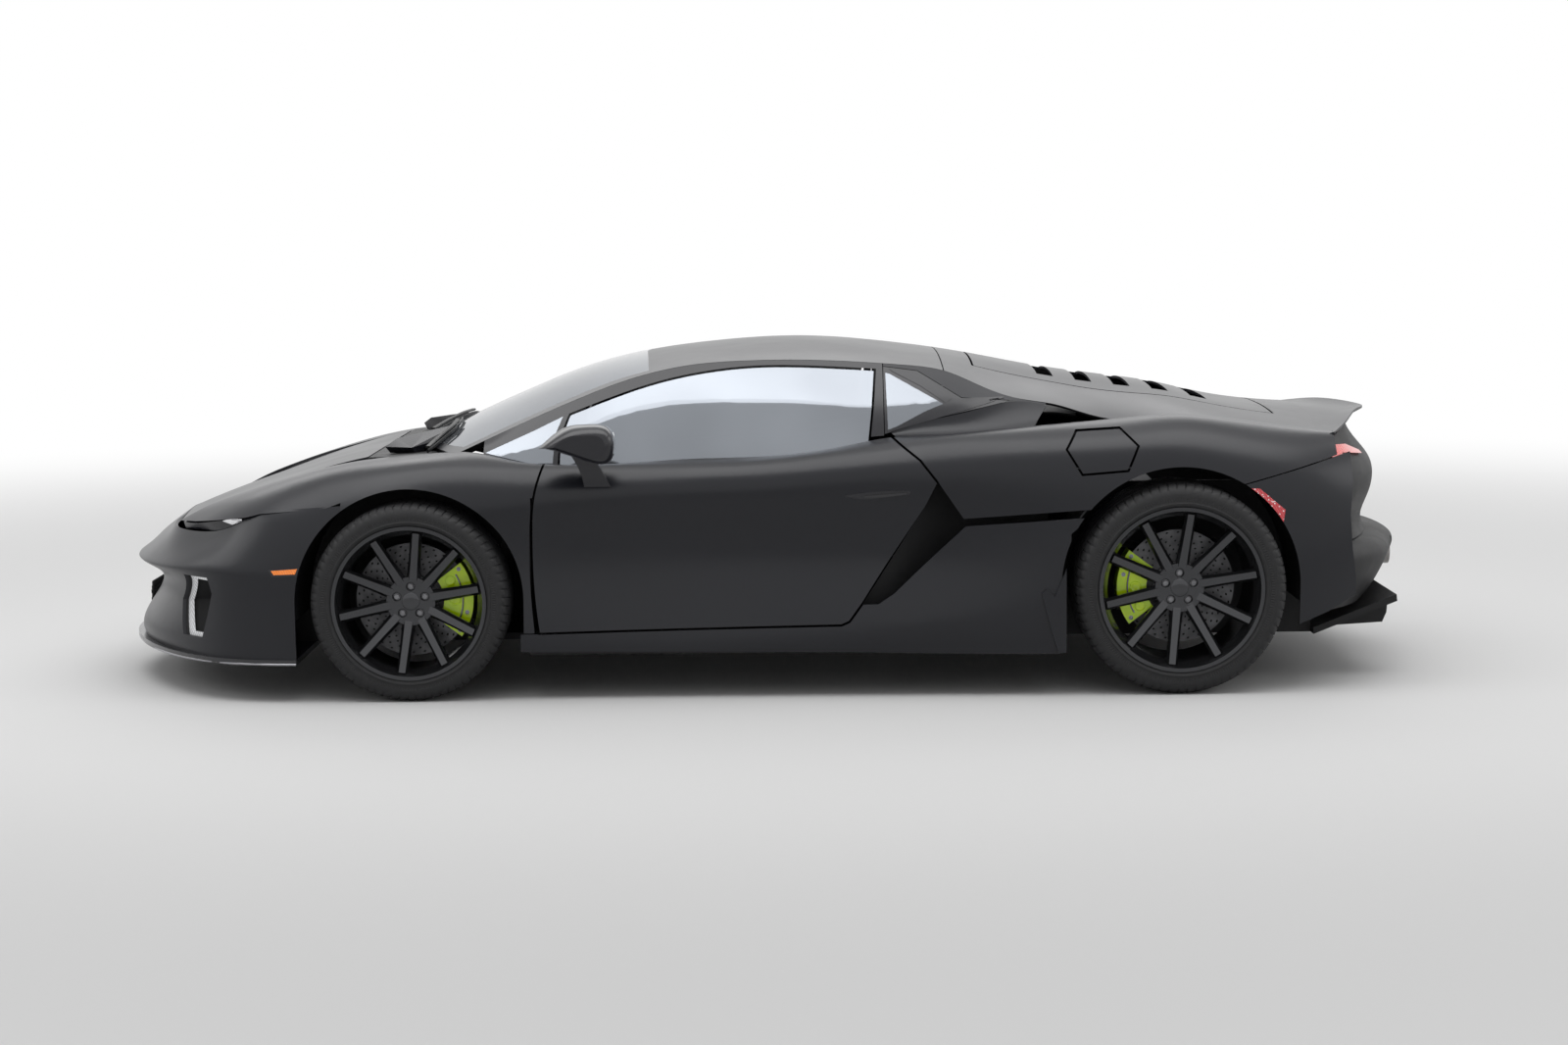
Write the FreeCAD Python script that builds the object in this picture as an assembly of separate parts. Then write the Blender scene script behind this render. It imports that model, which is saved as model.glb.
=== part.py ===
"""Low two-seat mid-engined sports car, built as separate panels, wheels and cabin pieces.

Millimetres. X runs from the nose (-X) to the tail (+X), the left side is at -Y and Z is up.
The origin lies on the ground at the middle of the length and width. Body shapes come from a
few character lines, written for one side as (x, half width, height) and mirrored.
"""
import FreeCAD, Part
import math
import os
from FreeCAD import Vector

os.makedirs("parts", exist_ok=True)

# Wheels and axles
front_axle_x = -1220.0
rear_axle_x = 1438.0
front_tyre_radius = 343.0
rear_tyre_radius = 364.0
front_tyre_width = 255.0
rear_tyre_width = 325.0
front_half_track = 861.0
rear_half_track = 835.0
front_rim_radius = 267.0
rear_rim_radius = 285.0
rim_flange = 7.0
bead_drop = 4.0
barrel_wall = 9.0
barrel_drop = 24.0
tyre_wall = 9.0
spoke_count = 10
spoke_turn = 11.0
spoke_root = 48.0
spoke_tip = 40.0
spoke_depth = 30.0
hub_radius = 88.0
front_hub_dish = 58.0
rear_hub_dish = 95.0
stub_length = 52.0
lug_circle = 56.0
lug_hole = 17.0
lug_radius = 11.0
lug_count = 5
cap_radius = 31.0
axle_radius = 30.0
bearing_play = 0.05
bearing_radius = 56.0

# Brakes
disc_radius = 196.0
disc_thickness = 34.0
disc_setback = 74.0
disc_clearance = 6.0
caliper_lug_half = 28.0
disc_hat_radius = 88.0
caliper_angle = 74.0
caliper_inner = 112.0
caliper_outer = 214.0
caliper_cheek = 22.0
caliper_gap = 6.0

# Steering and suspension
kingpin_y = 800.0
kingpin_half_height = 128.0
upright_width = 46.0
upright_thickness = 44.0
arm_root_y = 500.0
arm_spread = 165.0
arm_thickness = 24.0
ball_radius = 22.0
arm_clearance = 5.0

# Wheel arches
front_arch_radius = 393.0
rear_arch_radius = 414.0
rear_arch_rise = 8.0
liner_wall = 6.0
front_well_y = 548.0
rear_well_y = 560.0

# Panels
panel = 10.0
frame_wall = 28.0
glass = 5.0
door_depth = 64.0
shut_gap = 8.0
seam_gap = 4.0
hinge_pin = 7.0
hinge_play = 0.05
door_hinge_x = -758.0
door_hinge_y = 922.0
hinge_pin_top = 262.0
swing_relief_foot = 54.0
swing_relief_head = 48.0
swing_relief_top = 700.0
sill_top = 222.0

# Character lines of the side, from the skirt up to the inner edge
skirt = [(-2070, 735, 190), (-2000, 790, 188), (-1800, 925, 182), (-1500, 975, 180), (-1220, 986, 180),
         (-850, 966, 168), (-400, 958, 163), (300, 963, 155), (1000, 985, 146),
         (1438, 986, 160), (1800, 950, 205), (2060, 850, 262)]
blade = [(-2070, 750, 300), (-2000, 805, 300), (-1800, 940, 290), (-1500, 984, 280), (-1220, 992, 270),
         (-850, 966, 262), (-400, 950, 258), (0, 957, 256), (300, 968, 264),
         (600, 984, 280), (1000, 996, 290), (1438, 998, 290), (1800, 962, 312), (2060, 866, 360)]
hollow = [(-2070, 753, 430), (-2000, 808, 430), (-1800, 945, 430), (-1500, 986, 430), (-1220, 992, 430),
          (-850, 948, 430), (-400, 918, 430), (0, 914, 430), (400, 930, 430),
          (700, 962, 430), (1000, 992, 430), (1438, 998, 430), (1800, 968, 452), (2060, 874, 488)]
flank = [(-2070, 735, 540), (-2000, 790, 545), (-1800, 925, 570), (-1500, 975, 592), (-1220, 986, 600),
         (-850, 948, 600), (-400, 922, 600), (0, 919, 600), (400, 934, 608),
         (700, 962, 614), (1000, 985, 615), (1438, 994, 622), (1800, 958, 618), (2060, 868, 604)]
crease = [(-2070, 680, 572), (-2000, 735, 592), (-1800, 878, 636), (-1500, 940, 684), (-1220, 966, 722),
          (-850, 946, 716), (-400, 934, 728), (0, 934, 738), (400, 948, 764),
          (700, 966, 774), (1000, 978, 770), (1438, 978, 770), (1800, 938, 740), (2060, 845, 706)]
shoulder = [(-2070, 645, 590), (-2000, 690, 610), (-1800, 815, 676), (-1500, 880, 748), (-1220, 902, 798),
            (-1000, 902, 797), (-800, 905, 776), (-400, 902, 780), (0, 903, 792),
            (400, 922, 818), (700, 938, 838), (1000, 945, 852), (1438, 940, 864),
            (1800, 892, 822), (2060, 812, 780)]
crest = [(-2070, 612, 600), (-2000, 640, 628), (-1800, 735, 704), (-1500, 806, 788), (-1220, 815, 829),
         (-1000, 830, 836), (-800, 866, 806), (-400, 870, 803), (0, 870, 814),
         (400, 885, 852), (700, 885, 886), (1000, 870, 908), (1300, 852, 930),
         (1500, 846, 934), (1800, 806, 888), (2060, 765, 850)]
inner = [(-2070, 580, 606), (-2000, 590, 640), (-1800, 612, 716), (-1500, 630, 794), (-1240, 660, 830),
         (-1050, 752, 842), (-950, 800, 836), (-800, 826, 802), (-528, 832, 804),
         (-240, 832, 820), (24, 828, 826), (231, 820, 848), (440, 806, 884),
         (700, 790, 896), (1000, 765, 916), (1240, 712, 928), (1450, 706, 938),
         (1700, 706, 916), (1900, 700, 890), (2060, 690, 874)]
side_lines = [skirt, blade, hollow, flank, crease, shoulder, crest, inner]
side_stations = [-2070, -2000, -1900, -1750, -1600, -1450, -1300, -1150, -1000, -850, -700, -500, -250,
                 0, 250, 450, 650, 850, 1050, 1250, 1450, 1650, 1850, 2060]

# Crown of the car along its middle, and the rail along the roof's edge
crown = [(-1250, 0, 842), (-1100, 0, 915), (-933, 0, 990), (-707, 0, 1082), (-528, 0, 1134),
         (-330, 0, 1168), (-85, 0, 1193), (140, 0, 1201), (336, 0, 1190), (589, 0, 1159),
         (782, 0, 1129), (1035, 0, 1080), (1462, 0, 1017), (1694, 0, 963), (1880, 0, 938),
         (2010, 0, 930)]
rail = [(-1075, 742, 836), (-900, 706, 914), (-700, 674, 1000), (-500, 648, 1076),
        (-300, 627, 1127), (-80, 613, 1146), (160, 610, 1147), (400, 615, 1134),
        (640, 638, 1106), (850, 676, 1020), (1030, 668, 985), (1240, 700, 930),
        (1450, 704, 938), (1700, 704, 916), (1880, 699, 892), (2010, 692, 880)]
rail_sweep = 175.0
rail_sweep_end = -85.0
crown_stations = [-1250, -1130, -1000, -870, -740, -600, -450, -280, -85, 140, 336, 500, 650,
                  782, 900, 1035, 1180, 1320, 1462, 1600, 1750, 1880, 2010]
crown_fractions = [0, 0.28, 0.52, 0.72, 0.88, 1.0]
crown_fullness = 2.3

# Nose, as rows from the lip up to the bonnet edge, each from the middle to the wheel arch
nose_rows = [
    [(-2312, 0, 150), (-2272, 300, 150), (-2142, 600, 150), (-1995, 800, 150),
     (-1850, 912, 150), (-1700, 961, 150), (-1560, 976, 150), (-1440, 981, 150)],
    [(-2268, 0, 290), (-2236, 300, 290), (-2122, 600, 290), (-1988, 800, 290),
     (-1850, 914, 290), (-1700, 964, 290), (-1560, 981, 290), (-1440, 986, 290)],
    [(-2258, 0, 392), (-2222, 300, 392), (-2108, 600, 396), (-1985, 800, 400),
     (-1850, 916, 400), (-1700, 966, 400), (-1560, 982, 400), (-1440, 986, 400)],
    [(-2318, 0, 418), (-2274, 300, 420), (-2142, 600, 424), (-1996, 800, 430),
     (-1850, 917, 436), (-1700, 966, 440), (-1560, 982, 436), (-1440, 986, 440)],
    [(-2336, 0, 432), (-2291, 300, 434), (-2158, 600, 438), (-2004, 800, 446),
     (-1850, 917, 452), (-1700, 965, 458), (-1560, 981, 458), (-1440, 985, 462)],
    [(-2316, 0, 452), (-2272, 300, 453), (-2146, 600, 456), (-1998, 800, 464),
     (-1848, 914, 470), (-1700, 962, 480), (-1560, 979, 490), (-1440, 984, 495)],
    [(-2240, 0, 518), (-2205, 300, 516), (-2105, 600, 515), (-1960, 780, 520),
     (-1830, 885, 545), (-1700, 938, 580), (-1560, 966, 590), (-1440, 974, 596)],
    [(-2141, 0, 591), (-2122, 300, 588), (-2088, 565, 570), (-1905, 775, 580),
     (-1800, 862, 624), (-1715, 897, 655), (-1560, 936, 672), (-1440, 950, 680)],
]

# Bonnet
bonnet_line = [(-2160, 0, 583), (-2050, 0, 627), (-1955, 0, 662), (-1768, 0, 722),
               (-1582, 0, 776), (-1415, 0, 815), (-1350, 0, 828)]
bonnet_rear_x = -1402.0
bonnet_half_width = 596.0
bonnet_front = [(-2130, 0, 595), (-2111, 300, 592), (-2092, 480, 588), (-2056, 596, 604)]

# Outlines on the side, as (x, z)
door_outline = [[(-745, 835), (-768, 775), (-790, 680), (-797, 560), (-796, 440), (-775, 231)],
                (268, 250), (296, 262), (341, 322), (562, 656), (604, 738), (544, 815), (428, 905)]
quarter_front = [(428, 905), (544, 815), (604, 738), (690, 612), (1110, 641)]
blade_outline = [(-840, 90), (1060, 90), (1060, 560), (1127, 618), (698, 590), (451, 359),
                 (396, 323), (341, 322), (296, 262), (268, 250), (-775, 231), (-840, 231)]
fuel_outline = [(1046, 848), (1085, 908), (1235, 916), (1292, 858), (1254, 775), (1097, 763)]
flap_hinge_z = 785.0
flap_pin_front = 1068.0
flap_pin_rear = 1274.0
flap_pin_radius = 2.5
cup_y = 872.0
cup_wall = 6.0
rear_seam = [(1560, 700), (1626, 716), (1969, 800), (2100, 835)]
tail_edge = [(1998, 1000), (1998, 802), (2052, 723), (2038, 605), (2046, 488), (2070, 330),
             (1958, 271), (1831, 224), (1700, 100)]

# Glass outlines on the side
side_glass_outline = [(-700, 700), [(-712, 800), (-700, 905), (-676, 972)],
                      [(-676, 972), (-589, 1005), (-369, 1078), (-201, 1112), (-59, 1127),
                       (153, 1128), (404, 1114)], (392, 980), (372, 820), (372, 700)]
front_glass_outline = [(-966, 842), (-895, 825), (-806, 806), (-730, 806), (-722, 905),
                       (-698, 962), (-800, 914)]
quarter_glass_outline = [(436, 1100), (452, 1096), (646, 988), (566, 953), (440, 908)]
sail_seam_x = 428.0
trim_top = [(428, 1122), (549, 1106), (700, 1014), (877, 1001)]
trim_foot = [(590, 940), (428, 893)]
sail_rear = [(1000, 982), (1000, 1200), (428, 1200)]
ramp_lips = [(445, 445, 897), (590, 590, 939), (735, 735, 969), (862, 877, 997), (948, 1000, 980)]
ramp_hollow = 12.0

# Nose openings and trim, front outlines as (y, z)
nose_foot = 150.0
splitter_bottom = 131.0
splitter_edge = [(-2353, 0), (-2300, 300), (-2168, 600), (-2020, 800), (-1868, 918), (-1720, 966),
                 (-1612, 978)]
splitter_rear_x = -1612.0
corner_intake = [(745, 212), (832, 212), (868, 370), (855, 424), (745, 424), (700, 330)]
corner_columns = 6
duct_front_x = -2120.0
duct_rear_x = -1835.0
duct_play = 2.0
duct_wall = 6.0
ring_depth = 24.0
ring_thickness = 12.0
ring_width = 13.0
middle_intake = [(-190, 200), (190, 200), (160, 330), (-160, 330)]
grille_wall = 6.0
grille_lap = 18.0
lamp_lines = [((-2091, 545, 572), (-2084, 560, 588)), ((-2060, 602, 570), (-2056, 625, 600)),
              ((-2000, 672, 574), (-2000, 704, 607)), ((-1905, 775, 580), (-1900, 797, 621)),
              ((-1850, 820, 594), (-1850, 838, 629)), ((-1800, 862, 624), (-1800, 878, 636)),
              ((-1745, 890, 644), (-1745, 893, 648))]
lamp_recess = 5.0
lamp_depth = 45.0

# Side markers and fins, outlines on the side
marker_rise = 4.0
amber_outline = [(-1703, 464), (-1592, 471), (-1601, 443), (-1689, 439)]
red_outline = [(1649, 711), (1706, 709), (1796, 634), (1789, 593), (1740, 560)]
winglet_outline = [(956, 358), (973, 375), (1000, 348), (1040, 442), (1040, 153), (1013, 153),
                   (986, 239)]
winglet_root = 975.0
winglet_half = 1006.0

# Windscreen, roof rear and engine cover, in plan
screen_side = [(-1050, 690), (-900, 660), (-700, 630), (-540, 606), (-400, 592)]
screen_top = (-430, 0)
screen_base = [(-1170, 400), (-1215, 0), (-1170, -400)]
roof_rear_x = 642.0
engine_loop = [(760, -400), (1840, -430), (1840, 430), (760, 400)]
slat_count = 5
slat_first_x = 1000.0
slat_pitch = 140.0
slat_opening = 60.0
slat_half = 300.0

# Lid hinges
bonnet_hinge_x = -1492.0
bonnet_hinge_y = 430.0
bonnet_hinge_drop = 32.0
cover_hinge_x = 850.0
cover_hinge_y = 330.0
cover_crown_drop = 22.0
eye_half = 14.0
plate_gap = 5.0
plate_wall = 8.0
plate_half = 10.0
bracket_z = 665.0
cover_gap = 10.0
cowl_narrow = 0.87
cowl_rise = 4.0

# Tail, as middle rows (x, z) and across as (half width, set-back, share of the height)
tail_rows = [(2228, 500), (2215, 570), (2246, 655), (2252, 735), (2205, 810), (2150, 905)]
tail_plan = [(0, 0, 0.98), (300, 28, 0.985), (600, 106, 0.935), (760, 180, 0.86), (860, 250, 0.56)]
tail_foot = 500.0
ledge_rows = [(2236, 503), (2330, 470), (2353, 446), (2338, 380), (2292, 300), (2262, 262)]
ledge_plan = [(0, 0), (300, 60), (600, 150), (780, 265), (880, 365)]
deck_edge = [(1992, 0), (1985, 300), (1958, 600), (1938, 745)]
spoiler_profiles = [(0, [(1992, 929), (2080, 924), (2165, 922), (2242, 926)]),
                    (300, [(1985, 924), (2050, 920), (2110, 922), (2163, 930)]),
                    (550, [(1962, 902), (2000, 898), (2045, 900), (2083, 910)]),
                    (745, [(1938, 872), (1955, 874), (1978, 877), (2003, 884)])]
spoiler_depths = [24, 34, 30, 8]
diffuser_profile = [(1960, 150), (1960, 174), (2255, 290), (2258, 266)]
diffuser_half = 620.0
diffuser_fins = [-470.0, -160.0, 160.0, 470.0]
fin_profile = [(1975, 155), (2256, 268), (2250, 205), (2235, 170)]
fin_half = 5.0
exhaust_x = 1960.0
exhaust_y = 190.0
exhaust_z = 400.0
exhaust_length = 350.0
exhaust_radius = 52.0
exhaust_wall = 3.0
tail_lamp_outline = [(-792, 765), (-800, 842), (-640, 832), (-520, 800), (-520, 788), (-640, 800),
                     (-720, 808), (-740, 760)]
lamp_stand = 14.0

# Mirrors: rings of the head as (offset outwards, [(x, z), ...]) and of the stalk as (height, box)
mirror_y = 1010.0
mirror_rings = [(-95, [(-668, 884), (-600, 880), (-560, 885), (-558, 903), (-610, 910), (-665, 902)]),
                (-50, [(-738, 872), (-600, 838), (-524, 836), (-518, 930), (-600, 944), (-700, 918)]),
                (20, [(-755, 876), (-600, 834), (-518, 830), (-512, 940), (-600, 958), (-705, 926)]),
                (75, [(-742, 882), (-600, 842), (-520, 838), (-514, 930), (-600, 948), (-690, 922)]),
                (98, [(-700, 886), (-610, 858), (-540, 856), (-536, 912), (-600, 926), (-670, 912)])]
stalk_rings = [(868, (-668, -588, 940, 985)), (800, (-630, -556, 912, 946)), (735, (-612, -520, 880, 936))]

# Cabin, bays and floor
nose_bay_x = -2000.0
nose_bay_top = 520.0
bay_side = [(-2000, 150), (-2000, 520), (-1780, 610), (-1560, 690), (-970, 690), (-970, 150)]
rear_bay_x = 1960.0
bay_wall = 22.0
bay_top = 690.0
rear_bay_top = 700.0
bulkhead_top = 790.0
rear_bulkhead_top = 900.0
rear_bulkhead_half = 700.0
sill_front_x = -812.0
sill_rear_x = 1010.0
sill_half_width = 915.0
sill_edge_z = 174.0
post_front_x = -812.0
post_rear_x = -803.0
post_top = 780.0
liner_play = 8.0
intake_wall = 8.0

# Seats and controls
seat_width = 460.0
seat_base_z = 190.0
dash_rear_x = -520.0
column_radius = 16.0
wheel_hub_radius = 45.0
engine_front_x = 720.0
engine_rear_x = 1420.0
engine_half = 330.0
engine_top = 740.0

# Cabin
floor_z = 150.0
floor_wall = 24.0
cabin_half_width = 770.0
cabin_front_x = -940.0
cabin_rear_x = 560.0
bulkhead_wall = 30.0
tunnel_half_width = 110.0
tunnel_height = 230.0
driver_y = 365.0
seat_x = 40.0
steering_x = -330.0
steering_z = 730.0
steering_tilt = 24.0
steering_radius = 180.0
steering_grip = 15.0
dash_half = 745.0
duct_plan = [(345, 874), (480, 850), (620, 800), (780, 765), (1000, 760)]
duct_heights = [262, 420, 600, 800, 872]
floor_lips = [(940, 640, 872), (1000, 590, 868), (1120, 580, 866), (1236, 570, 850)]
floor_drop = 6.0
floor_overlap = 4.0


def follow(line, x):
    """Half width and height of a character line at a station, on a smooth curve."""
    xs = [point[0] for point in line]
    k = 0
    while k < len(xs) - 2 and x > xs[k + 1]:
        k += 1
    span = xs[k + 1] - xs[k]
    t = (x - xs[k]) / span
    values = []
    for axis in (1, 2):
        a = line[k][axis]
        b = line[k + 1][axis]
        before = max(k - 1, 0)
        after = min(k + 2, len(line) - 1)
        slope_a = (b - line[before][axis]) / (xs[k + 1] - xs[before]) * span
        slope_b = (line[after][axis] - a) / (xs[after] - xs[k]) * span
        h1 = 2 * t ** 3 - 3 * t ** 2 + 1
        h2 = t ** 3 - 2 * t ** 2 + t
        h3 = -2 * t ** 3 + 3 * t ** 2
        h4 = t ** 3 - t ** 2
        values.append(h1 * a + h2 * slope_a + h3 * b + h4 * slope_b)
    return values


def spacing(lines):
    """Mean chord positions from 0 to 1 along rows that share one set of steps."""
    totals = [0.0] * len(lines[0])
    for line in lines:
        run = [0.0]
        for a, b in zip(line, line[1:]):
            run.append(run[-1] + (b - a).Length)
        for k, distance in enumerate(run):
            totals[k] += distance / run[-1] / len(lines)
    return totals


def fitted(points, steps):
    """Smooth curve through points at given steps."""
    curve = Part.BSplineCurve()
    curve.interpolate(Points=list(points), Parameters=list(steps))
    return curve


def surface(grid, along, across):
    """Smooth surface through a grid of points."""
    rows = [fitted(line, across) for line in grid]
    columns = []
    for j in range(rows[0].NbPoles):
        columns.append(fitted([row.getPole(j + 1) for row in rows], along))
    poles = []
    for i in range(columns[0].NbPoles):
        poles.append([column.getPole(i + 1) for column in columns])
    skin = Part.BSplineSurface()
    skin.buildFromPolesMultsKnots(poles, columns[0].getMultiplicities(),
                                  rows[0].getMultiplicities(), columns[0].getKnots(),
                                  rows[0].getKnots(), False, False,
                                  columns[0].Degree, rows[0].Degree)
    return skin


def inward(grid, depth, core=None):
    """Grid moved by a depth along its normals, towards a core point or the car's middle."""
    moved = []
    for i, line in enumerate(grid):
        row = []
        for j, point in enumerate(line):
            along = grid[min(i + 1, len(grid) - 1)][j] - grid[max(i - 1, 0)][j]
            across = line[min(j + 1, len(line) - 1)] - line[max(j - 1, 0)]
            normal = along.cross(across)
            normal.normalize()
            middle = core if core else Vector(point.x, 0, 450)
            if normal.dot(middle - point) < 0:
                normal = normal * -1
            row.append(point + normal * depth)
        moved.append(row)
    return moved


def shell(outer, inner_grid):
    """Solid between two grids that have the same rows and columns."""
    along = spacing(list(zip(*outer)))
    across = spacing(outer)
    top = surface(outer, along, across)
    bottom = surface(inner_grid, along, across)
    faces = [top.toShape(), bottom.toShape()]
    for end in (0, 1):
        faces.append(Part.makeRuledSurface(top.uIso(end).toShape(), bottom.uIso(end).toShape()))
        faces.append(Part.makeRuledSurface(top.vIso(end).toShape(), bottom.vIso(end).toShape()))
    skin = Part.Shell(faces)
    skin.sewShape()
    solid = Part.Solid(skin)
    if solid.Volume < 0:
        solid.reverse()
    return solid


def outline(loop, place):
    """Face inside a closed loop: pairs are corners and lists of pairs are smooth runs."""
    edges = []
    first = None
    last = None
    for run in loop:
        pairs = run if isinstance(run, list) else [run]
        points = [place(*pair) for pair in pairs]
        if first is None:
            first = points[0]
        if last is not None and (points[0] - last).Length > 0.001:
            edges.append(Part.makeLine(last, points[0]))
        if len(points) > 1:
            curve = Part.BSplineCurve()
            curve.interpolate(points)
            edges.append(curve.toShape())
        last = points[-1]
    if (first - last).Length > 0.001:
        edges.append(Part.makeLine(last, first))
    return Part.Face(Part.Wire(edges))


def grown(face, distance):
    """Face moved out all round by a distance, with its curved edges fitted anew."""
    if not distance:
        return face
    edges = []
    for edge in face.makeOffset2D(distance).OuterWire.OrderedEdges:
        if isinstance(edge.Curve, Part.Line):
            edges.append(edge)
            continue
        curve = Part.BSplineCurve()
        curve.interpolate(edge.discretize(12))
        edges.append(curve.toShape())
    return Part.Face(Part.Wire(Part.sortEdges(edges)[0]))


def through_y(loop, y0, y1, grow=0.0):
    """Prism of a side outline between two half widths on the left, grown all round."""
    face = outline(loop, lambda x, z: Vector(x, -y0, z))
    return grown(face, grow).extrude(Vector(0, y0 - y1, 0))


def through_z(loop, z0, z1, grow=0.0):
    """Prism of a plan outline, given as (x, y), between two heights."""
    face = outline(loop, lambda x, y: Vector(x, y, z0))
    return grown(face, grow).extrude(Vector(0, 0, z1 - z0))


def through_x(loop, x0, x1, grow=0.0):
    """Prism of a front outline, given as (y, z), between two stations."""
    face = outline(loop, lambda y, z: Vector(x0, y, z))
    return grown(face, grow).extrude(Vector(x1 - x0, 0, 0))


def mirror_loop(half_loop):
    """Plan loop from its left-hand half, given from the middle of the nose to its rear end."""
    rear = (splitter_rear_x, half_loop[-1][1] - 120)
    left = [(x, -y) for x, y in reversed(half_loop)]
    return [left + [(x, y) for x, y in half_loop[1:]], rear, (rear[0], -rear[1])]


def shifted_up(grid, rise):
    return [[point + Vector(0, 0, rise) for point in line] for line in grid]


def box(x0, x1, y0, y1, z0, z1):
    return Part.makeBox(x1 - x0, y1 - y0, z1 - z0, Vector(x0, y0, z0))


def left_box(x0, x1, y0, y1, z0, z1):
    """Box given by half widths on the left side."""
    return box(x0, x1, -y1, -y0, z0, z1)


def cross_cylinder(radius, x, z, y0, y1):
    """Cylinder along Y between two places."""
    return Part.makeCylinder(radius, y1 - y0, Vector(x, y0, z), Vector(0, 1, 0))


def mirrored(shape):
    return shape.mirror(Vector(0, 0, 0), Vector(0, 1, 0))


def pair(shape):
    """A left piece and its mirror image in one node."""
    return Part.makeCompound(solids_of(shape) + solids_of(mirrored(shape)))


def solids_of(shape, smallest=2000.0):
    """Solids of a shape without chips left by a cut."""
    return [solid for solid in shape.Solids if solid.Volume > smallest]


def largest(shape):
    return max(shape.Solids, key=lambda solid: solid.Volume)


def fused(shapes):
    return shapes[0].multiFuse(shapes[1:])


def save(name, shape):
    solids = shape.Solids
    kept = solids[0] if len(solids) == 1 else Part.makeCompound(solids)
    print(name, len(solids), round(kept.Volume / 1e6, 2), kept.isValid())
    kept.exportStep("parts/" + name + ".step")


# Body side: one surface from the skirt to the inner edge, from which every side panel is cut
side_grid = []
for station in side_stations:
    side_grid.append([])
    for line in side_lines:
        half, height = follow(line, station)
        side_grid[-1].append(Vector(station, -half, height))
side_skin = shell(side_grid, inward(side_grid, panel))
side_thick = shell(side_grid, inward(side_grid, door_depth))

# Crown: windscreen, roof and rear deck as one surface from rail to rail
crown_grid = []
for station in crown_stations:
    lead = max(0.0, (rail_sweep_end - station) / (rail_sweep_end - crown_stations[0]))
    sweep = rail_sweep * lead
    middle_z = follow(crown, station)[1]
    edge_y, edge_z = follow(rail, station + sweep)
    row = []
    for t in crown_fractions:
        drop = (middle_z - edge_z) * t ** crown_fullness
        row.append(Vector(station + sweep * t ** 2, edge_y * t, middle_z - drop))
    row = [Vector(point.x, -point.y, point.z) for point in reversed(row[1:])] + row
    crown_grid.append(row)


def mitred(grid, depth):
    """Inner grid of the crown whose edges meet the window frames on a mitre."""
    inner_grid = inward(grid, depth)
    for i, line in enumerate(grid):
        for j, side in ((0, 1), (-1, -1)):
            inner_grid[i][j] = line[j] + Vector(0, side * depth * 0.8, -depth * 0.8)
    return inner_grid


crown_thick = shell(crown_grid, mitred(crown_grid, frame_wall))
crown_skin = shell(crown_grid, mitred(crown_grid, panel))
crown_glass = shell(crown_grid, inward(crown_grid, glass))

# Side of the canopy, from the rail down to the belt, as one surface on the left
belt_depth = 34.0
canopy_bulge = 16.0
canopy_seam = 0.003
canopy_grid = []
for row in crown_grid[1:17]:
    top = row[0]
    half, height = follow(inner, top.x)
    foot = Vector(top.x, -(half - 12), height - belt_depth)
    line = []
    for t in (canopy_seam, 0.35, 0.7, 1.0):
        point = top + (foot - top) * t
        line.append(point + Vector(0, -canopy_bulge * 4 * t * (1 - t), 0))
    canopy_grid.append(line)
canopy_inner = inward(canopy_grid, frame_wall)
for i, line in enumerate(canopy_grid):
    canopy_inner[i][0] = line[0] + Vector(0, frame_wall * 0.8, -frame_wall * 0.8)
canopy_thick = shell(canopy_grid, canopy_inner)
canopy_glass = shell(canopy_grid, inward(canopy_grid, glass))

# Arch openings
front_arch_room = left_box(front_axle_x - front_arch_radius - liner_play - liner_wall,
                           front_axle_x + front_arch_radius + liner_play + liner_wall,
                           front_well_y, 1100, 0, bay_top + 100)
front_arch = cross_cylinder(front_arch_radius, front_axle_x, front_tyre_radius, -1100, -600)
rear_arch = cross_cylinder(rear_arch_radius, rear_axle_x, rear_tyre_radius + rear_arch_rise,
                           -1100, -560)
front_arch_foot = left_box(front_axle_x - front_arch_radius, front_axle_x + front_arch_radius,
                           600, 1100, 0, front_tyre_radius)
rear_arch_foot = left_box(rear_axle_x - rear_arch_radius, rear_axle_x + rear_arch_radius,
                          600, 1100, 0, rear_tyre_radius)

# Front fender
fender_region = through_y([(-2070, 600), (-2000, 606), (-1790, 636), (-1735, 650), (-1500, 672),
                           (-1450, 690), (-1430, 200), (-900, 120),
                           (-775, 231), (-796, 440), (-797, 560), (-790, 680), (-768, 775),
                           (-745, 835), (-745, 900), (-2070, 900)], 560, 1100)
fender = side_skin.common(fender_region).cut(front_arch).cut(front_arch_foot)
fender = fender.cut(through_y(door_outline, 700, 1100, shut_gap / 2))
swing_relief = Part.makeCone(swing_relief_foot, swing_relief_head, swing_relief_top - sill_top,
                             Vector(door_hinge_x, -door_hinge_y, sill_top))
fender = fender.cut(swing_relief)
fender = fender.cut(through_y(blade_outline, 700, 1100, seam_gap / 2))
bonnet_strip = left_box(-2200, bonnet_rear_x + cover_gap, 0, bonnet_half_width + shut_gap,
                        500, 900)
fender = fender.cut(bonnet_strip)
fender = largest(fender)

# Doors: as thick as the whole door, with the window above on its own node
door = side_thick.common(through_y(door_outline, 700, 1100, -shut_gap / 2))
door = largest(door)
hinge_hole = Part.makeCylinder(hinge_pin + hinge_play, hinge_pin_top - sill_top + 20,
                               Vector(door_hinge_x, -door_hinge_y, sill_top))
door = door.cut(hinge_hole)
save("door_left", door)
save("door_right", mirrored(door))

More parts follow.
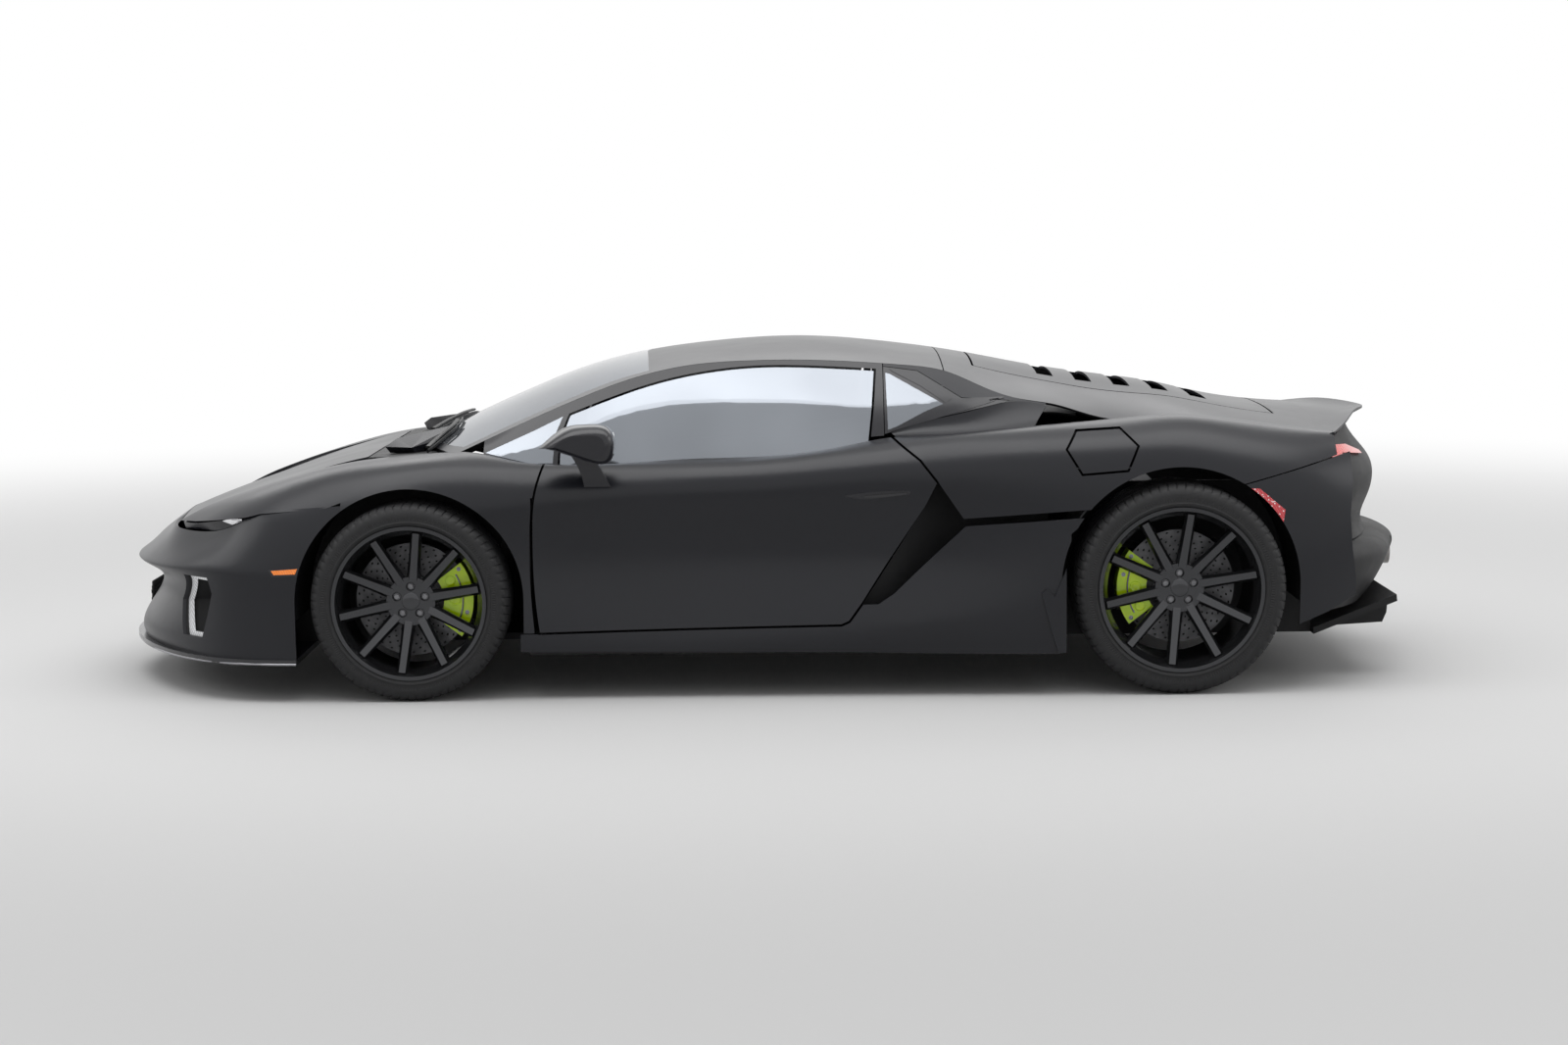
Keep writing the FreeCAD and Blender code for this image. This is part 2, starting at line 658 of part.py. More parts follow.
# Side blades and skirts
skirt_panel = side_skin.common(through_y(blade_outline, 600, 1100, -seam_gap / 2))
skirt_panel = skirt_panel.cut(rear_arch).cut(rear_arch_foot).cut(front_arch)
skirt_panel = largest(skirt_panel.cut(through_y(door_outline, 700, 1100, shut_gap / 2)))
winglet = through_y(winglet_outline, winglet_root, winglet_half)
skirt_panel = largest(skirt_panel.fuse(largest(winglet.cut(side_skin))))
save("side_skirts", pair(skirt_panel))

# Quarter panels
quarter_region = quarter_front + [(1150, 640), (1480, 560), (1700, 660)] + rear_seam[1:]
quarter_region = quarter_region + [(2100, 1000), (428, 1000)]
quarter_prism = through_y(quarter_region, 560, 1100, -seam_gap / 2)
quarter = side_skin.common(quarter_prism).cut(rear_arch)
quarter = largest(quarter.cut(through_y(door_outline, 700, 1100, shut_gap / 2)))
tail_trim = through_y([(1998, 1100), (1998, 802), (2052, 723), (2200, 700), (2200, 1100)],
                      500, 1100)
quarter = largest(quarter.cut(tail_trim))
save("quarter_panel_right", mirrored(quarter))
fuel_flap = side_skin.common(through_y(fuel_outline, 700, 1100, -shut_gap / 2))
quarter_left = quarter.cut(through_y(fuel_outline, 700, 1100, shut_gap / 2))


def skin_middle(x, z):
    """Point in the middle of the side panel's thickness."""
    run = Part.makeLine(Vector(x, -1100, z), Vector(x, -600, z)).common(side_skin)
    return run.BoundBox.Center


def outer_point(solid, x, z):
    """Point on a solid's outer face, on the left side."""
    run = Part.makeLine(Vector(x, -1100, z), Vector(x, -400, z)).common(solid)
    return Vector(x, run.BoundBox.YMin, z)


flap_front = skin_middle(flap_pin_front, flap_hinge_z)
flap_rear = skin_middle(flap_pin_rear, flap_hinge_z)
flap_axis = flap_rear - flap_front
flap_length = flap_axis.Length
flap_axis.normalize()
flap_pin = Part.makeCylinder(flap_pin_radius, flap_length, flap_front, flap_axis)
flap_bore = Part.makeCylinder(flap_pin_radius + hinge_play, flap_length, flap_front, flap_axis)
quarter_left = largest(quarter_left.fuse(flap_pin))
save("quarter_panel_left", quarter_left)
save("fuel_flap", largest(fuel_flap.cut(flap_bore)))
print("flap_hinge", [round(v / 1000, 6) for v in flap_front], [round(v, 6) for v in flap_axis])
cup = through_y(fuel_outline, cup_y, 1050, shut_gap / 2 + cup_wall)
cup = cup.cut(through_y(fuel_outline, cup_y + cup_wall, 1060, shut_gap / 2)).cut(side_skin)
cup = min(solids_of(cup), key=lambda solid: abs(solid.CenterOfMass.y))
save("fuel_filler", cup.cut(flap_pin))

fender = largest(fender.cut(crown_thick))
save("front_fenders", pair(fender))

# Nose and bonnet
nose_half = [[Vector(row[k][0], row[k][1], row[k][2]) for row in nose_rows]
             for k in range(len(nose_rows[0]))]
nose_grid = [[Vector(p.x, -p.y, p.z) for p in line] for line in reversed(nose_half[1:])] + nose_half
nose_core = Vector(-1300, 0, 380)
nose_solid = shell(nose_grid, inward(nose_grid, panel, nose_core))
corner_left = [(-y, z) for y, z in corner_intake]
nose = nose_solid.cut(through_x(corner_intake, -2400, -1880))
nose = nose.cut(through_x(corner_left, -2400, -1880))
nose = nose.cut(through_x(middle_intake, -2400, -2000))
nose = nose.cut(front_arch).cut(mirrored(front_arch))
nose = nose.cut(front_arch_foot).cut(mirrored(front_arch_foot))
nose = largest(nose.cut(fender).cut(mirrored(fender)))
save("front_bumper", nose)

splitter = through_z(mirror_loop(splitter_edge), splitter_bottom, nose_foot)
save("front_splitter", splitter)

corner_grid = [[Vector(p.x, -p.y, p.z) for p in line] for line in nose_half[:corner_columns]]


def behind(depth, thickness):
    """Plate that follows the nose's left corner at a depth behind its outer face."""
    outer = [[point + Vector(depth, 0, 0) for point in line] for line in corner_grid]
    return shell(outer, [[point + Vector(thickness, 0, 0) for point in line] for line in outer])


corner_duct = through_x(corner_left, duct_front_x, duct_rear_x, duct_play + duct_wall)
corner_duct = corner_duct.cut(through_x(corner_left, duct_front_x, duct_rear_x - grille_wall,
                                        duct_play))
corner_duct = max(corner_duct.cut(nose_solid).Solids, key=lambda solid: solid.CenterOfMass.x)
middle_skin = shell(inward(nose_grid, panel, nose_core),
                    inward(nose_grid, panel + grille_wall, nose_core))
middle_grille = middle_skin.common(through_x(middle_intake, -2400, -2000, grille_lap)).cut(nose)
save("front_grilles", Part.makeCompound([corner_duct, mirrored(corner_duct),
                                         largest(middle_grille)]))
lamp_ring = behind(ring_depth, ring_thickness)
lamp_ring = lamp_ring.common(through_x(corner_left, duct_front_x, duct_rear_x, duct_play))
lamp_ring = lamp_ring.cut(through_x(corner_left, duct_front_x, duct_rear_x, -ring_width))
lamp_ring = largest(lamp_ring.cut(nose))

bonnet_grid = []
for share in (0, 0.2, 0.4, 0.6, 0.8, 1.0):
    row = []
    for front_x, half, front_z in bonnet_front:
        x = front_x + share * (bonnet_rear_x - front_x)
        lift = front_z - follow(bonnet_line, front_x)[1]
        row.append(Vector(x, half, follow(bonnet_line, x)[1] + lift * (1 - share) ** 2))
    row = [Vector(point.x, -point.y, point.z) for point in reversed(row[1:])] + row
    bonnet_grid.append(row)
bonnet = shell(bonnet_grid, inward(bonnet_grid, panel))
hinge_z = follow(bonnet_line, bonnet_hinge_x)[1] - bonnet_hinge_drop
for side in (1, -1):
    eye_y = side * bonnet_hinge_y
    eye = cross_cylinder(hinge_pin * 2, bonnet_hinge_x, hinge_z, eye_y - eye_half, eye_y + eye_half)
    stem = box(bonnet_hinge_x - hinge_pin, bonnet_hinge_x + hinge_pin, eye_y - eye_half,
               eye_y + eye_half, hinge_z, hinge_z + bonnet_hinge_drop - panel / 2)
    bore = cross_cylinder(hinge_pin + hinge_play, bonnet_hinge_x, hinge_z, eye_y - 30, eye_y + 30)
    bonnet = bonnet.fuse(eye.fuse(stem)).cut(bore)
save("bonnet", bonnet.removeSplitter())

# Headlamp housings between bumper and bonnet
lamp_grid = []
for low, high in lamp_lines:
    a = Vector(low[0], -low[1], low[2])
    b = Vector(high[0], -high[1], high[2])
    lamp_grid.append([point + Vector(lamp_recess, 0, 0) for point in (a, a * 0.5 + b * 0.5, b)])
lamp = shell(lamp_grid, inward(lamp_grid, lamp_depth, nose_core))
lamp = lamp.cut(left_box(-2078, bonnet_rear_x, 0, bonnet_half_width + shut_gap, 500, 900))
lamp = largest(lamp.cut(nose_solid).cut(side_skin))
save("headlamps", pair(Part.makeCompound([lamp, lamp_ring])))

# Side markers on the nose and the rear corners
amber = shell(nose_grid, inward(nose_grid, -marker_rise, nose_core))
amber = largest(amber.common(through_y(amber_outline, 850, 1100)))
red = shell(side_grid, inward(side_grid, -marker_rise))
red = largest(red.common(through_y(red_outline, 850, 1100)).cut(rear_arch))
save("side_markers", pair(Part.makeCompound([amber, red])))

# Crown pieces
screen_loop = [[(x, -y) for x, y in screen_side], screen_top,
               [(x, y) for x, y in reversed(screen_side)],
               [screen_side[0]] + screen_base + [(screen_side[0][0], -screen_side[0][1])]]
screen_prism = through_z(screen_loop, 700, 1300)
windscreen = largest(crown_glass.common(screen_prism))
save("windscreen", windscreen)
roof = crown_thick.cut(screen_prism)
roof = largest(roof.common(box(-1400, roof_rear_x - seam_gap / 2, -900, 900, 700, 1300)))
save("roof", roof)
deck_loop = [[(x, -y) for x, y in reversed(deck_edge)] + deck_edge[1:],
             (roof_rear_x + seam_gap / 2, 760), (roof_rear_x + seam_gap / 2, -760)]
deck = crown_skin.common(through_z(deck_loop, 700, 1300))
deck = largest(deck.cut(through_z(engine_loop, 700, 1300, shut_gap / 2)))
save("rear_deck", deck)
engine_cover = largest(crown_skin.common(through_z(engine_loop, 700, 1300, -shut_gap / 2)))
cover_hinge_z = follow(crown, cover_hinge_x)[1] - bonnet_hinge_drop - cover_crown_drop
for k in range(slat_count):
    x = slat_first_x + k * slat_pitch
    engine_cover = engine_cover.cut(box(x, x + slat_opening, -slat_half, slat_half, 700, 1300))
for side in (1, -1):
    eye_y = side * cover_hinge_y
    eye = cross_cylinder(hinge_pin * 2, cover_hinge_x, cover_hinge_z, eye_y - eye_half,
                         eye_y + eye_half)
    stem = box(cover_hinge_x - hinge_pin, cover_hinge_x + hinge_pin, eye_y - eye_half,
               eye_y + eye_half, cover_hinge_z, 1250).common(
                   shell(crown_grid, shifted_up(crown_grid, -90)))
    bore = cross_cylinder(hinge_pin + hinge_play, cover_hinge_x, cover_hinge_z, eye_y - 30,
                          eye_y + 30)
    engine_cover = engine_cover.fuse(eye.fuse(stem)).cut(bore)
save("engine_cover", engine_cover.removeSplitter())
print("cover_hinge_z", round(cover_hinge_z, 4), "bonnet_hinge_z", round(hinge_z, 4))

cowl_front = [Vector(bonnet_rear_x + cover_gap, point.y * cowl_narrow,
                     follow(bonnet_line, bonnet_rear_x + cover_gap)[1]) for point in crown_grid[0]]
cowl_rear = [point + Vector(12, 0, -14) for point in crown_grid[0]]
cowl_grid = [cowl_front, [a * 0.5 + b * 0.5 + Vector(0, 0, cowl_rise)
                          for a, b in zip(cowl_front, cowl_rear)], cowl_rear]
cowl = shell(cowl_grid, shifted_up(cowl_grid, -panel))
cowl = largest(cowl.cut(crown_thick).cut(fender).cut(mirrored(fender)))
save("cowl", cowl)

frame_band = through_y([(-1075, 838), (-966, 832), (-806, 800), (-745, 800),
                        (sail_seam_x - seam_gap / 2, 889), (sail_seam_x - seam_gap / 2, 1300),
                        (-1100, 1300)], 400, 1000)
side_frame = canopy_thick.common(frame_band)
for loop in (side_glass_outline, front_glass_outline):
    side_frame = side_frame.cut(through_y(loop, 400, 1000, 0))
side_frame = largest(side_frame)
sail = canopy_thick.common(through_y(trim_top + sail_rear, 400, 1000, -seam_gap / 4))
sail = largest(sail)
sail_trim = canopy_thick.common(through_y(trim_top + trim_foot, 400, 1000, -seam_gap / 4))
sail_trim = largest(sail_trim.cut(through_y(quarter_glass_outline, 400, 1000)))
save("window_frames", pair(Part.makeCompound([side_frame, sail_trim])))
door_glass = largest(canopy_glass.common(through_y(side_glass_outline, 400, 1000, -shut_gap)))
door_glass = largest(door_glass.cut(door))
save("door_glass_left", door_glass)
save("door_glass_right", mirrored(door_glass))
fixed = [largest(canopy_glass.common(through_y(loop, 400, 1000)))
         for loop in (front_glass_outline, quarter_glass_outline)]
save("fixed_side_glass", pair(Part.makeCompound(fixed)))

# Tail
tail_grid = []
for half, set_back, share in tail_plan:
    tail_grid.append([Vector(x - set_back, half, tail_foot + (z - tail_foot) * share)
                      for x, z in tail_rows])
tail_grid = [[Vector(p.x, -p.y, p.z) for p in line] for line in reversed(tail_grid[1:])] + tail_grid
tail_core = Vector(1400, 0, 600)


def tail_outer(grid):
    return [[point + Vector(lamp_stand, 0, 0) for point in line] for line in grid]


tail_panel = shell(tail_grid, inward(tail_grid, panel, tail_core))
tail_panel = tail_panel.cut(side_skin).cut(mirrored(side_skin)).cut(deck)
ledge_grid = []
for half, set_back in ledge_plan:
    ledge_grid.append([Vector(x - set_back, half, z) for x, z in ledge_rows])
ledge_grid = [[Vector(p.x, -p.y, p.z) for p in line] for line in reversed(ledge_grid[1:])] + ledge_grid
ledge = shell(ledge_grid, inward(ledge_grid, panel, Vector(1400, 0, 400)))
corner_region = through_y([(1560, 700), (1626, 716), (1969, 800), (2050, 820), (2052, 723),
                           (2038, 605), (2046, 488), (2070, 330), (1958, 271), (1831, 224),
                           (1700, 190), (1560, 400)], 560, 1100, -seam_gap / 2)
corner = largest(side_skin.common(corner_region).cut(rear_arch).cut(rear_arch_foot))
for side in (1, -1):
    ledge = ledge.cut(Part.makeCylinder(exhaust_radius, exhaust_length + 200,
                                        Vector(exhaust_x, side * exhaust_y, exhaust_z),
                                        Vector(1, 0, 0)))
save("tail_panel", largest(tail_panel.cut(ledge)))
ledge = largest(ledge.cut(side_skin).cut(mirrored(side_skin)))
save("rear_ledge", ledge)
rear_bumper = [ledge, corner, mirrored(corner)]
save("rear_bumper", pair(corner))

spoiler_upper = [[Vector(x, y, z) for x, z in profile] for y, profile in spoiler_profiles]
spoiler_upper = [[Vector(p.x, -p.y, p.z) for p in line] for line in reversed(spoiler_upper[1:])] \
    + spoiler_upper
spoiler_lower = [[p + Vector(0, 0, -depth) for p, depth in zip(line, spoiler_depths)]
                 for line in spoiler_upper]
spoiler = shell(spoiler_upper, spoiler_lower).cut(deck).cut(tail_panel)
save("spoiler", largest(spoiler.cut(side_skin).cut(mirrored(side_skin))))

diffuser = through_y(diffuser_profile, -diffuser_half, diffuser_half)
for place in diffuser_fins:
    diffuser = diffuser.fuse(through_y(fin_profile, place - fin_half, place + fin_half))
diffuser = largest(diffuser.removeSplitter().cut(Part.makeCompound(rear_bumper)))
save("diffuser", diffuser)

pipes = []
for side in (1, -1):
    pipe = Part.makeCylinder(exhaust_radius, exhaust_length,
                             Vector(exhaust_x, side * exhaust_y, exhaust_z), Vector(1, 0, 0))
    bore = Part.makeCylinder(exhaust_radius - exhaust_wall, exhaust_length,
                             Vector(exhaust_x + 60, side * exhaust_y, exhaust_z), Vector(1, 0, 0))
    pipes.append(pipe.cut(bore))
save("exhausts", Part.makeCompound(pipes))

tail_lamp = through_x(tail_lamp_outline, 1990, 2160)
tail_lamp = tail_lamp.common(shell(tail_outer(tail_grid), tail_grid))
save("tail_lamps", pair(largest(tail_lamp.cut(side_skin))))

# Mirrors
rings = []
for offset, corners in mirror_rings:
    ring = Part.BSplineCurve()
    ring.interpolate(Points=[Vector(x, -(mirror_y + offset), z) for x, z in corners],
                     PeriodicFlag=True)
    rings.append(Part.Wire(ring.toShape()))
mirror_head = Part.makeLoft(rings, True, False)
rings = []
for z, (x0, x1, y0, y1) in stalk_rings:
    rings.append(Part.makePolygon([Vector(x0, -y0, z), Vector(x1, -y0, z), Vector(x1, -y1, z),
                                   Vector(x0, -y1, z), Vector(x0, -y0, z)]))
stalk = Part.makeLoft(rings, True, False)
mirror = largest(mirror_head.fuse(stalk).cut(door))
save("mirror_left", mirror)
save("mirror_right", mirrored(mirror))

# Front and rear frames, bolted to the cabin tub's bulkheads
front_end_x = cabin_front_x - bulkhead_wall
rear_end_x = cabin_rear_x + bulkhead_wall
front_frame = [box(nose_bay_x, front_end_x, -front_well_y, front_well_y, floor_z, floor_z + floor_wall),
               box(nose_bay_x, nose_bay_x + bay_wall, -front_well_y, front_well_y, floor_z,
                   nose_bay_top)]
rear_frame = [box(rear_end_x, rear_bay_x, -rear_well_y, rear_well_y, floor_z, floor_z + floor_wall),
              box(rear_bay_x - bay_wall, rear_bay_x, -rear_well_y, rear_well_y, floor_z,
                  rear_bay_top)]
for side in (1, -1):
    front_frame.append(through_y(bay_side, side * (front_well_y - bay_wall), side * front_well_y))
    rear_frame.append(through_y([(rear_end_x, floor_z), (rear_end_x, rear_bay_top),
                                 (rear_bay_x, rear_bay_top), (rear_bay_x, floor_z)],
                                side * (rear_well_y - bay_wall), side * rear_well_y))

# Cabin tub
walls = [box(cabin_front_x, cabin_rear_x, -cabin_half_width, cabin_half_width, floor_z,
             floor_z + floor_wall)]
walls.append(box(front_end_x, cabin_front_x, -cabin_half_width, cabin_half_width,
                 floor_z, bulkhead_top))
walls.append(box(cabin_rear_x, rear_end_x, -rear_bulkhead_half,
                 rear_bulkhead_half, floor_z, rear_bulkhead_top))
walls.append(box(cabin_front_x, cabin_rear_x, -tunnel_half_width, tunnel_half_width, floor_z,
                 floor_z + tunnel_height))
sill = left_box(sill_front_x, sill_rear_x, cabin_half_width, sill_half_width, floor_z, sill_top)
sill_edge = left_box(sill_front_x, sill_rear_x, sill_half_width - 20, 1100, sill_edge_z, sill_top)
sill_edge = min(sill_edge.cut(side_skin).Solids, key=lambda solid: abs(solid.CenterOfMass.y))
post = left_box(post_front_x, post_rear_x, cabin_half_width, 1100, sill_edge_z, post_top)
post = min(post.cut(side_skin).Solids, key=lambda solid: abs(solid.CenterOfMass.y))
pin = Part.makeCylinder(hinge_pin, hinge_pin_top - sill_top + 10,
                        Vector(door_hinge_x, -door_hinge_y, sill_top - 10))
for piece in (sill, sill_edge, post, pin):
    walls.append(piece)
    walls.append(mirrored(piece))
for side in (1, -1):
    for inner_y in (bonnet_hinge_y - eye_half - plate_gap - plate_wall,
                    bonnet_hinge_y + eye_half + plate_gap):
        front_frame.append(box(bonnet_hinge_x - plate_half, bonnet_hinge_x + plate_half,
                               min(side * inner_y, side * (inner_y + plate_wall)),
                               max(side * inner_y, side * (inner_y + plate_wall)), bracket_z,
                               hinge_z + plate_half))
    web = (side * (bonnet_hinge_y - eye_half - plate_gap - plate_wall), side * (front_well_y - bay_wall / 2))
    front_frame.append(box(bonnet_hinge_x - plate_half, bonnet_hinge_x + plate_half, min(web),
                           max(web), bracket_z, bracket_z + 25))
    ends = (side * bonnet_hinge_y - eye_half - plate_gap - plate_wall / 2,
            side * bonnet_hinge_y + eye_half + plate_gap + plate_wall / 2)
    front_frame.append(cross_cylinder(hinge_pin, bonnet_hinge_x, hinge_z, *ends))
    for inner_y in (cover_hinge_y - eye_half - plate_gap - plate_wall,
                    cover_hinge_y + eye_half + plate_gap):
        outline_xz = [(cabin_rear_x + bulkhead_wall / 2, rear_bulkhead_top - 70),
                      (cabin_rear_x + bulkhead_wall / 2, rear_bulkhead_top),
                      (cover_hinge_x - 40, cover_hinge_z - 60),
                      (cover_hinge_x - plate_half, cover_hinge_z + plate_half),
                      (cover_hinge_x + plate_half, cover_hinge_z + plate_half),
                      (cover_hinge_x + plate_half, cover_hinge_z - 40),
                      (cover_hinge_x - 20, cover_hinge_z - 110)]
        walls.append(through_y(outline_xz, -side * inner_y, -side * (inner_y + plate_wall)))
    ends = (side * cover_hinge_y - eye_half - plate_gap - plate_wall / 2,
            side * cover_hinge_y + eye_half + plate_gap + plate_wall / 2)
    walls.append(cross_cylinder(hinge_pin, cover_hinge_x, cover_hinge_z, *ends))
tub = fused(walls)
tub = tub.cut(front_arch_room).cut(mirrored(front_arch_room))
save("tub", tub)
save("frames", Part.makeCompound([fused(front_frame), fused(rear_frame)]))

# Wheel-house liners
liners = []
for axle_x, radius, rise, tyre_radius, well_y in (
        (front_axle_x, front_arch_radius, 0.0, front_tyre_radius, front_well_y),
        (rear_axle_x, rear_arch_radius, rear_arch_rise, rear_tyre_radius, rear_well_y)):
    z = tyre_radius + rise
    ring = cross_cylinder(radius + liner_play + liner_wall, axle_x, z, -1100, -well_y)
    ring = ring.cut(cross_cylinder(radius + liner_play, axle_x, z, -1100, -well_y))
    ring = ring.common(left_box(axle_x - 600, axle_x + 600, 0, 1100, z - 60, 1000))
    ring = ring.cut(side_skin).cut(nose_solid)
    liners.append(min(ring.Solids, key=lambda solid: abs(solid.CenterOfMass.y)))
save("wheel_liners", pair(Part.makeCompound(liners)))


def wheel_profile(points):
    """Solid turned about the wheel's axle from (radius, outward) pairs."""
    face = Part.Face(Part.makePolygon([Vector(r, -a, 0) for r, a in points + points[:1]]))
    return face.revolve(Vector(0, 0, 0), Vector(0, 1, 0), 360)


def tyre(radius, width, rim_radius):
    """Hollow tyre with rounded shoulders, open at its beads."""
    half = width / 2
    edge = rim_radius - rim_flange
    seat = edge - bead_drop
    outside = [(seat, half - 13), (rim_radius, half - 8), (rim_radius + 4, half - 3),
               (rim_radius + 16, half - 0.5), (radius - 42, half), (radius - 18, half - 7),
               (radius - 5, half - 22), (radius, half - 46)]
    inside = [(seat, half - 30), (rim_radius + 10, half - 14), (radius - 26, half - 20),
              (radius - tyre_wall, half - 46)]
    return wheel_profile(outside + [(r, -a) for r, a in reversed(outside)]
                         + [(r, -a) for r, a in inside] + inside[::-1])


def spoke(dish, rim_radius, lip):
    """One spoke from the hub out to the barrel, narrower on its bevelled face."""
    rings = []
    reach = rim_radius - barrel_drop
    for r, front, width in ((hub_radius - 22, dish, spoke_root),
                            ((hub_radius + reach) / 2, (dish + lip) / 2 + 2, (spoke_root + spoke_tip) / 2 - 3),
                            (reach, lip, spoke_tip)):
        ring = []
        for a, half in ((front, width * 0.28), (front - spoke_depth * 0.45, width / 2),
                        (front - spoke_depth, width / 2)):
            ring.append((a, half))
        loop = [Vector(r, -a, half) for a, half in ring]
        loop += [Vector(r, -a, -half) for a, half in reversed(ring)]
        rings.append(Part.makePolygon(loop + loop[:1]))
    return Part.makeLoft(rings, True, False)


def rim(rim_radius, width, dish):
    """Barrel, ten spokes and hub of one wheel."""
    half = width / 2
    lip = half - 14
    seat = rim_radius - rim_flange - bead_drop
    well = rim_radius - barrel_drop - barrel_wall
    profile = [(rim_radius, half - 8), (rim_radius, half - 2), (rim_radius - rim_flange - 6, half - 2),
               (seat - barrel_wall, half - 16), (well, half - 46), (well, -half + 40),
               (seat - barrel_wall, -half + 14), (rim_radius - rim_flange, -half + 2),
               (rim_radius, -half + 2), (rim_radius, -half + 7), (seat, -half + 13),
               (seat, -half + 30), (well + barrel_wall, -half + 44), (well + barrel_wall, half - 50),
               (seat, half - 30), (seat, half - 13)]
    body = wheel_profile(profile)
    arm = spoke(dish, rim_radius, lip)
    parts = []
    for k in range(spoke_count):
        turned = arm.copy()
        turned.rotate(Vector(0, 0, 0), Vector(0, 1, 0), -spoke_turn - k * 360.0 / spoke_count)
        parts.append(turned)
    hub = wheel_profile([(0, dish - spoke_depth), (hub_radius, dish - spoke_depth),
                         (hub_radius, dish - 6), (hub_radius - 8, dish), (cap_radius + 6, dish),
                         (cap_radius, dish - 5), (cap_radius, dish + 3), (cap_radius - 5, dish + 5),
                         (0, dish + 5)])
    for k in range(lug_count):
        angle = math.radians(90 + k * 360.0 / lug_count)
        x = lug_circle * math.cos(angle)
        z = lug_circle * math.sin(angle)
        seat_hole = cross_cylinder(lug_hole, x, z, -dish - 1, -dish + 16)
        corners = [(x + lug_radius * math.cos(math.radians(60 * n)),
                    z + lug_radius * math.sin(math.radians(60 * n))) for n in range(6)]
        lug = through_y(corners, dish - 18, dish - 3)
        hub = hub.cut(seat_hole).fuse(lug)
    return fused([body, hub] + parts)


def brake_disc(dish):
    """Disc, hat and axle stub that turn with the wheel."""
    middle = dish - disc_setback
    front = middle + disc_thickness / 2
    back = middle - disc_thickness / 2
    return wheel_profile([(0, dish - spoke_depth), (disc_hat_radius, dish - spoke_depth),
                          (disc_hat_radius, front), (disc_radius, front), (disc_radius, back),
                          (axle_radius, back), (axle_radius, back - stub_length), (0, back - stub_length)])


def caliper(dish, facing):
    """Caliper over the disc's edge, on the +X side of the hub if facing is 1, or the -X side."""
    middle = dish - disc_setback
    room = disc_thickness / 2 + caliper_gap
    outer = middle + room + caliper_cheek
    back = middle - room - caliper_cheek
    ring = cross_cylinder(caliper_outer, 0, 0, -outer, -back)
    ring = ring.cut(cross_cylinder(caliper_inner, 0, 0, -outer, -back))
    ring = ring.cut(cross_cylinder(disc_radius + caliper_gap, 0, 0, -middle - room, -middle + room))
    half = math.radians(caliper_angle / 2)
    far = caliper_outer * 2
    wedge = Part.makePolygon([Vector(0, -outer - 5, 0),
                              Vector(facing * far * math.cos(half), -outer - 5, far * math.sin(half)),
                              Vector(facing * far * math.cos(half), -outer - 5, -far * math.sin(half)),
                              Vector(0, -outer - 5, 0)])
    wedge = Part.Face(wedge).extrude(Vector(0, outer - back + 10, 0))
    return largest(ring.common(wedge))


def carrier(dish, facing):
    """Upright with its bearing bore, ball joints above and below, and the caliper's lug."""
    back = dish - disc_setback - disc_thickness / 2
    outer = back - disc_clearance
    inner_face = outer - upright_thickness
    reach = kingpin_half_height - arm_thickness / 2 - arm_clearance
    plate = box(-upright_width / 2, upright_width / 2, -outer, -inner_face, -reach, reach)
    boss = cross_cylinder(bearing_radius, 0, 0, -outer, -inner_face)
    lug = box(0, caliper_inner + 30, -outer, -outer + caliper_cheek, -caliper_lug_half,
              caliper_lug_half)
    if facing < 0:
        lug = lug.mirror(Vector(0, 0, 0), Vector(1, 0, 0))
    whole = fused([plate, boss, lug]).cut(caliper(dish, facing))
    return largest(whole.cut(cross_cylinder(axle_radius + bearing_play, 0, 0, -outer - 5, -inner_face + 5)))


def placed(shape, axle_x, half_track, radius):
    moved = shape.copy()
    moved.translate(Vector(axle_x, -half_track, radius))
    return moved


front_rim = rim(front_rim_radius, front_tyre_width, front_hub_dish)
rear_rim = rim(rear_rim_radius, rear_tyre_width, rear_hub_dish)
front_tyre = tyre(front_tyre_radius, front_tyre_width, front_rim_radius)
rear_tyre = tyre(rear_tyre_radius, rear_tyre_width, rear_rim_radius)
for end, axle_x, half_track, radius, pieces in (
        ("front", front_axle_x, front_half_track, front_tyre_radius,
         {"rim": front_rim, "tyre": front_tyre, "brake_disc": brake_disc(front_hub_dish)}),
        ("rear", rear_axle_x, rear_half_track, rear_tyre_radius,
         {"rim": rear_rim, "tyre": rear_tyre, "brake_disc": brake_disc(rear_hub_dish)})):
    for name, piece in pieces.items():
        left = placed(piece, axle_x, half_track, radius)
        save(name + "_" + end + "_left", left)
        save(name + "_" + end + "_right", mirrored(left))

front_caliper = placed(caliper(front_hub_dish, 1), front_axle_x, front_half_track, front_tyre_radius)
save("caliper_front_left", front_caliper)
save("caliper_front_right", mirrored(front_caliper))
rear_caliper = placed(caliper(rear_hub_dish, -1), rear_axle_x, rear_half_track, rear_tyre_radius)
save("calipers_rear", pair(rear_caliper))
knuckle = placed(carrier(front_hub_dish, 1), front_axle_x, front_half_track, front_tyre_radius)
for level in (1, -1):
    socket = Part.makeSphere(ball_radius + bearing_play,
                             Vector(front_axle_x, -kingpin_y, front_tyre_radius
                                    + level * kingpin_half_height))
    knuckle = knuckle.cut(socket)
knuckle = largest(knuckle)
save("knuckle_left", knuckle)
save("knuckle_right", mirrored(knuckle))
rear_carrier = placed(carrier(rear_hub_dish, -1), rear_axle_x, rear_half_track, rear_tyre_radius)


